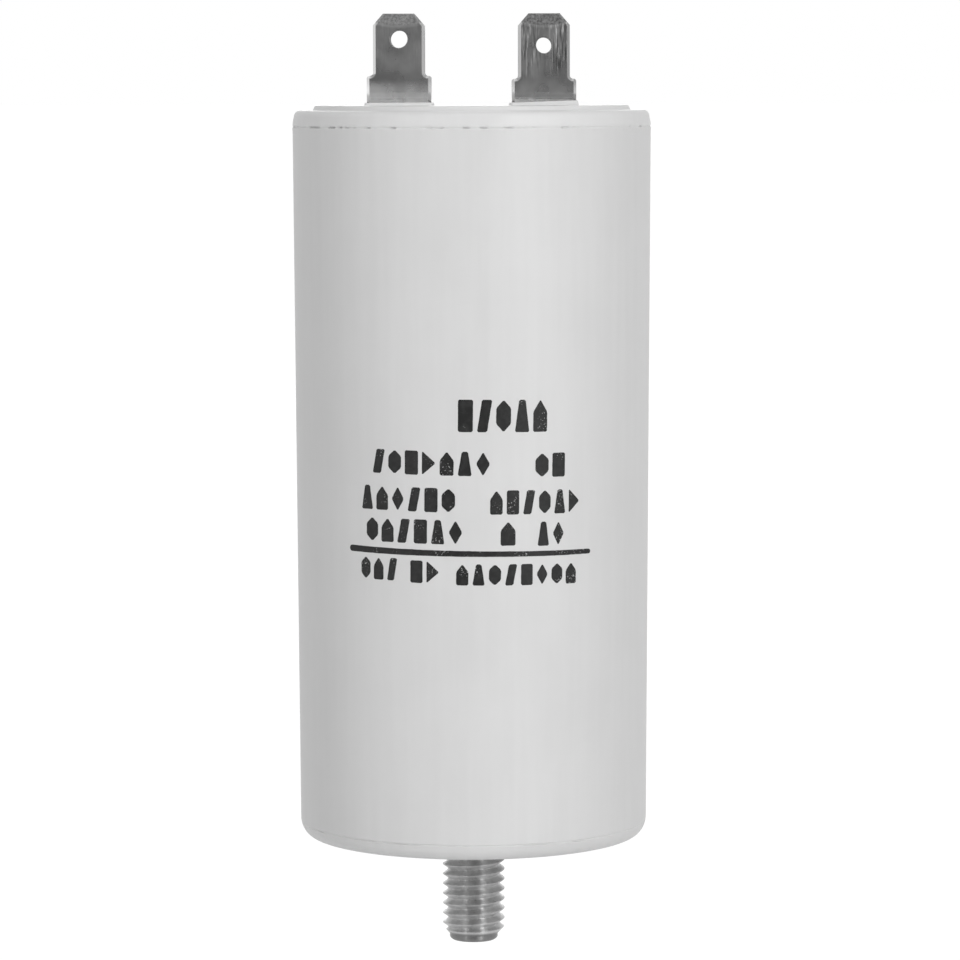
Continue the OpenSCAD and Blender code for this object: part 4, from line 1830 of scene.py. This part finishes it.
    def wrap_group(self) -> bpy.types.NodeTree:
        """Geometry group that wraps a flat print round the tapered wall.

        Returns:
            The group.
        """
        names = ["Base radius", "Taper", "Tilt", "Middle", "Sunk"]
        g = GeometryGroup("wrap_on_wall", names, takes_mesh=True)
        base, taper, tilt, middle, sunk = (g.take(n) for n in names)
        here = g.node("GeometryNodeInputPosition")
        x = g.node("ShaderNodeSeparateXYZ", None, {0: here})
        y, z = x.part("Y"), x.part("Z")
        height = y + x * tilt
        angle = (x - (y - middle) * tilt) / (base + middle * taper)
        radius = base + height * taper + z - sunk
        moved = g.node("ShaderNodeCombineXYZ", None, {
            0: radius * angle.maths("SINE"), 1: -(radius * angle.maths("COSINE")), 2: height})
        shape = g.node("GeometryNodeSetPosition", None,
                       {"Geometry": g.take("Geometry"), "Position": moved})
        return g.close(shape)

    def build(self) -> None:
        """Builds the print and dresses it."""
        noise.seed_set(self.spread_seed)
        pieces = {}
        for i, row in enumerate(self.rows):
            bottom = row.middle_z - row.height / 2
            shapes = [[(x + px, bottom + py) for px, py in self.shape(mark, w, row.height)]
                      for mark, x, w in self.cells(row)]
            pieces.setdefault("print_title" if i == 0 else "print_marks", []).extend(shapes)
        start, end = self.rule_span
        r = self.rule_t / 2
        swollen = r * self.rule_swell
        ends = arc((end - r, self.rule_z), r, -90, 90, 6)
        ends += arc((start + swollen, self.rule_z + self.rule_lift), swollen, 90, 270, 6)
        pieces["print_rule"] = [ends]
        group = self.wrap_group()
        for name, shapes in pieces.items():
            piece = self.flat_print(shapes, name)
            run_group(piece, group, {
                "Base radius": self.can.r_base * MM, "Taper": self.can.taper, "Tilt": self.tilt,
                "Middle": self.middle_z * MM, "Sunk": self.sunk * MM, "Material": self.ink})
            finish_piece(piece, self.ink)


# ---------------------------------------------------------------- inside


class Inside:
    """Finishes of the CAD nodes that stay: winding, leads, solder, tags and resin."""

    def finishes(self) -> dict[str, Union[PlatedMetal, PlainSolid]]:
        """The finish of each kind of inner piece.

        Returns:
            The finishes, by the start of their nodes' names.
        """
        return {
            "tag": PlatedMetal("tag_brass", (0.74, 0.56, 0.27, 1), roughness=0.32),
            "joint": PlatedMetal("solder_joint", grey(0.58), roughness=0.28, speck=0.7),
            "mound": PlatedMetal("solder_mound", grey(0.55), roughness=0.33, speck=0.9),
            "lead": PlatedMetal("copper_lead", (0.83, 0.42, 0.27, 1), speck=0.4,
                                line_stretch=(1.0, 1.0, 0.1)),
            "sleeve": PlainSolid("lead_sleeve", (0.10, 0.10, 0.11, 1), roughness=0.45,
                                 line_stretch=(1.0, 1.0, 0.1), line_scale=3.0),
            "winding": PlainSolid("wound_film", (0.62, 0.63, 0.65, 1), roughness=0.25,
                                  line_stretch=(1.0, 1.0, 0.02), line_scale=4.0, spread=0.12,
                                  relief_mm=0.03),
            "core": PlainSolid("core_tube", (0.55, 0.53, 0.47, 1), roughness=0.5,
                               line_stretch=(1.0, 1.0, 0.1), line_scale=2.0),
            "spray": PlatedMetal("sprayed_zinc", grey(0.36), roughness=0.62, speck=0.9, relief_mm=0.06),
            "wrap": PlainSolid("wrap_film", (0.78, 0.74, 0.60, 1), roughness=0.3,
                               line_stretch=(1.0, 1.0, 0.05), line_scale=2.5),
            "resin": PlainSolid("potting_resin", (0.045, 0.043, 0.04, 1), roughness=0.35, line_scale=0.6,
                                spread=0.2, relief_mm=0.05, coat=0.2),
        }

    def build(self) -> None:
        """Gives each remaining CAD node its finish."""
        made = {start: finish.build() for start, finish in self.finishes().items()}
        for name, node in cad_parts.items():
            start = name.split("_")[0]
            if node.hide_render or start not in made:
                continue
            for slot in node.material_slots:
                slot.material = made[start]
            log.info("%s: %s", name, made[start].name)


# ---------------------------------------------------------------- studio


@dataclass(frozen=True)
class Lamp:
    """One soft area lamp that faces the object's middle."""

    name: str
    azimuth_deg: float
    elevation_deg: float
    distance: float
    size: Point
    watts: float


@dataclass
class Studio:
    """Camera, soft lamps, white surroundings and a floor well below the stud."""

    camera_at: Place = (0.935, -556.6, 95.35)
    pitch_deg: float = 5.170
    roll_deg: float = -0.1455
    lens: float = 165.79
    sensor: float = 36.0
    clip: Point = (0.01, 100.0)
    target: Place = (0.0, 0.0, 50.0)
    ambient: float = 0.355
    floor_drop: float = 60.0
    floor_size: float = 60.0
    floor_level: float = 0.82
    floor_shade: float = 0.12
    floor_glow: float = 1.12
    card_level: float = 0.25
    card_r: float = 900.0
    card_half_deg: float = 34.0
    card_z: Point = (-620.0, 560.0)
    card_steps: int = 24
    lamps: Sequence[Lamp] = (
        Lamp("key_lamp", 34.0, 12.0, 1.5, (0.40, 1.3), 10.8),
        Lamp("fill_lamp", -32.0, 12.0, 1.5, (0.40, 1.3), 5.6),
        Lamp("strip_lamp", 60.0, 6.0, 1.5, (0.10, 1.2), 0.7),
        Lamp("bounce_lamp", 0.0, -42.0, 1.2, (0.8, 0.3), 1.2),
        Lamp("top_lamp", 0.0, 78.0, 1.4, (0.9, 0.9), 2.0),
        Lamp("back_lamp", 180.0, 20.0, 2.0, (0.4, 1.2), 4.5),
    )

    def camera(self) -> None:
        """Sets the camera where the object is seen from."""
        data = bpy.data.cameras.new("camera")
        data.lens = self.lens
        data.sensor_width = self.sensor
        data.clip_start, data.clip_end = self.clip
        camera = linked("camera", data)
        pitch = Matrix.Rotation(math.radians(90 - self.pitch_deg), 4, "X")
        roll = Matrix.Rotation(math.radians(self.roll_deg), 4, "Z")
        camera.matrix_world = Matrix.Translation(Vector(self.camera_at) * MM) @ pitch @ roll
        bpy.context.scene.camera = camera

    def lamp(self, lamp: Lamp) -> None:
        """Hangs one lamp. Azimuth 0 is the camera's side, and it grows to the camera's right.

        Args:
            lamp: The lamp.
        """
        data = bpy.data.lights.new(lamp.name, "AREA")
        data.shape = "RECTANGLE"
        data.size, data.size_y = lamp.size
        data.energy = lamp.watts
        azimuth, rise = math.radians(lamp.azimuth_deg), math.radians(lamp.elevation_deg)
        out = Vector((math.sin(azimuth) * math.cos(rise), -math.cos(azimuth) * math.cos(rise),
                      math.sin(rise)))
        holder = linked(lamp.name, data)
        holder.location = Vector(self.target) * MM + out * lamp.distance
        holder.rotation_euler = out.to_track_quat("Z", "Y").to_euler()

    @staticmethod
    def seen_plainly(graph: Graph) -> Field:
        """1 for rays from the camera, off gloss or through glass, and 0 for rays that light."""
        path = graph.node("ShaderNodeLightPath", None, None, "Is Camera Ray")
        return path.most(path.part("Is Glossy Ray")).most(path.part("Is Transmission Ray"))

    def world(self) -> None:
        """White surroundings that light the object from all sides at a plain level."""
        world = bpy.data.worlds.new("white_room")
        world.use_nodes = True
        world.node_tree.nodes.clear()
        g = Graph(world.node_tree)
        seen = self.seen_plainly(g)
        strength = seen + (1.0 - seen) * self.ambient
        light = g.node("ShaderNodeBackground", None, {"Color": grey(1.0), "Strength": strength})
        g.node("ShaderNodeOutputWorld", None, {"Surface": light})
        bpy.context.scene.world = world

    def floor(self) -> None:
        """A wide white floor below the stud, which keeps a soft shadow."""
        bm = bmesh.new()
        bmesh.ops.create_grid(bm, x_segments=1, y_segments=1, size=self.floor_size / MM / 2)
        low = CAD_BOX[0][2] / MM - self.floor_drop
        bmesh.ops.translate(bm, vec=(0, 0, low), verts=bm.verts)
        floor = new_piece("floor", bm)
        s = Shader("white_floor")
        lit = s.node("ShaderNodeBsdfDiffuse", None, {"Color": grey(self.floor_level)}, "BSDF")
        plain = s.node("ShaderNodeEmission", None, {"Color": grey(1.0), "Strength": self.floor_glow})
        share = self.seen_plainly(s) * (1.0 - self.floor_shade)
        both = s.node("ShaderNodeMixShader", None, {0: share, 1: lit, 2: plain})
        s.node("ShaderNodeOutputMaterial", None, {"Surface": both})
        floor.data.materials.append(s.material)

    def dark_card(self) -> None:
        """A curved dark card behind the camera, seen only in gloss, as a dim room is in metal."""
        bm = bmesh.new()
        turns = [math.radians(-90 + self.card_half_deg * (2 * i / self.card_steps - 1))
                 for i in range(self.card_steps + 1)]
        rows = [[bm.verts.new((self.card_r * math.cos(a), self.card_r * math.sin(a), z)) for a in turns]
                for z in self.card_z]
        for low, high in zip(around(rows[0])[:-1], around(rows[1])[:-1]):
            bm.faces.new((*low, *reversed(high)))
        card = new_piece("dark_card_0", bm)
        s = Shader("dark_card_0")
        dim = s.node("ShaderNodeEmission", None, {"Color": grey(1.0), "Strength": self.card_level})
        s.node("ShaderNodeOutputMaterial", None, {"Surface": dim})
        card.data.materials.append(s.material)
        card.visible_camera = False
        card.visible_diffuse = False
        card.visible_transmission = False
        card.visible_shadow = False

    def build(self) -> None:
        """Builds the studio."""
        self.camera()
        for lamp in self.lamps:
            self.lamp(lamp)
        self.world()
        self.floor()
        self.dark_card()
        bpy.context.scene.view_settings.view_transform = "Standard"


# ---------------------------------------------------------------- all together


def main() -> None:
    """Builds every piece and the studio."""
    logging.basicConfig(level=logging.INFO, format="%(name)s: %(message)s")
    can = Can(MouldedPlastic("can_plastic", level=0.70).build())
    can.build()
    # The lid's plastic is a little lighter than the can's: partly its own moulding, partly painted light,
    # as its skirt leans up towards the light.
    Lid(MouldedPlastic("lid_plastic", level=0.735, roughness=0.45).build(), can).build()
    # The stud's end is darkened as painted shade.
    steel = PlatedMetal("plated_steel", grey(0.50), roughness=0.42, speck=0.4, line_stretch=(1.0, 1.0, 0.5),
                        relief_mm=0.003, drawn=0.94, shaded_end_z=-12.75)
    Stud(steel.build(), can.bolt).build()
    # Each tab's foot and bend tones are painted reflection, and its edge tones are painted highlight, set
    # for each tab.
    Tab("left", shoulder_h=3.6, hole_d=2.2, hole_drop=3.15, wear=TabWearAndPaintedLight(
        scratches=0.12, tip_tone=0.88, foot_painted_reflection=2.08, edge_painted_highlights=(2.15, 1.35))).build()
    Tab("right", shoulder_h=3.2, hole_d=2.0, hole_drop=3.95, wear=TabWearAndPaintedLight(
        scratches=1.0, tip_tone=0.62, foot_painted_reflection=1.25, edge_painted_highlights=(1.6, 0.95))).build()
    rivet = PlatedMetal("tinned_rivet", grey(0.6), roughness=0.28, speck=0.4).build()
    for side in ("left", "right"):
        Rivet(side, rivet).build()
    PrintBlock(Printed("pad_print_ink").build(), can).build()
    Inside().build()
    Studio().build()


if __name__ == "__main__":
    main()
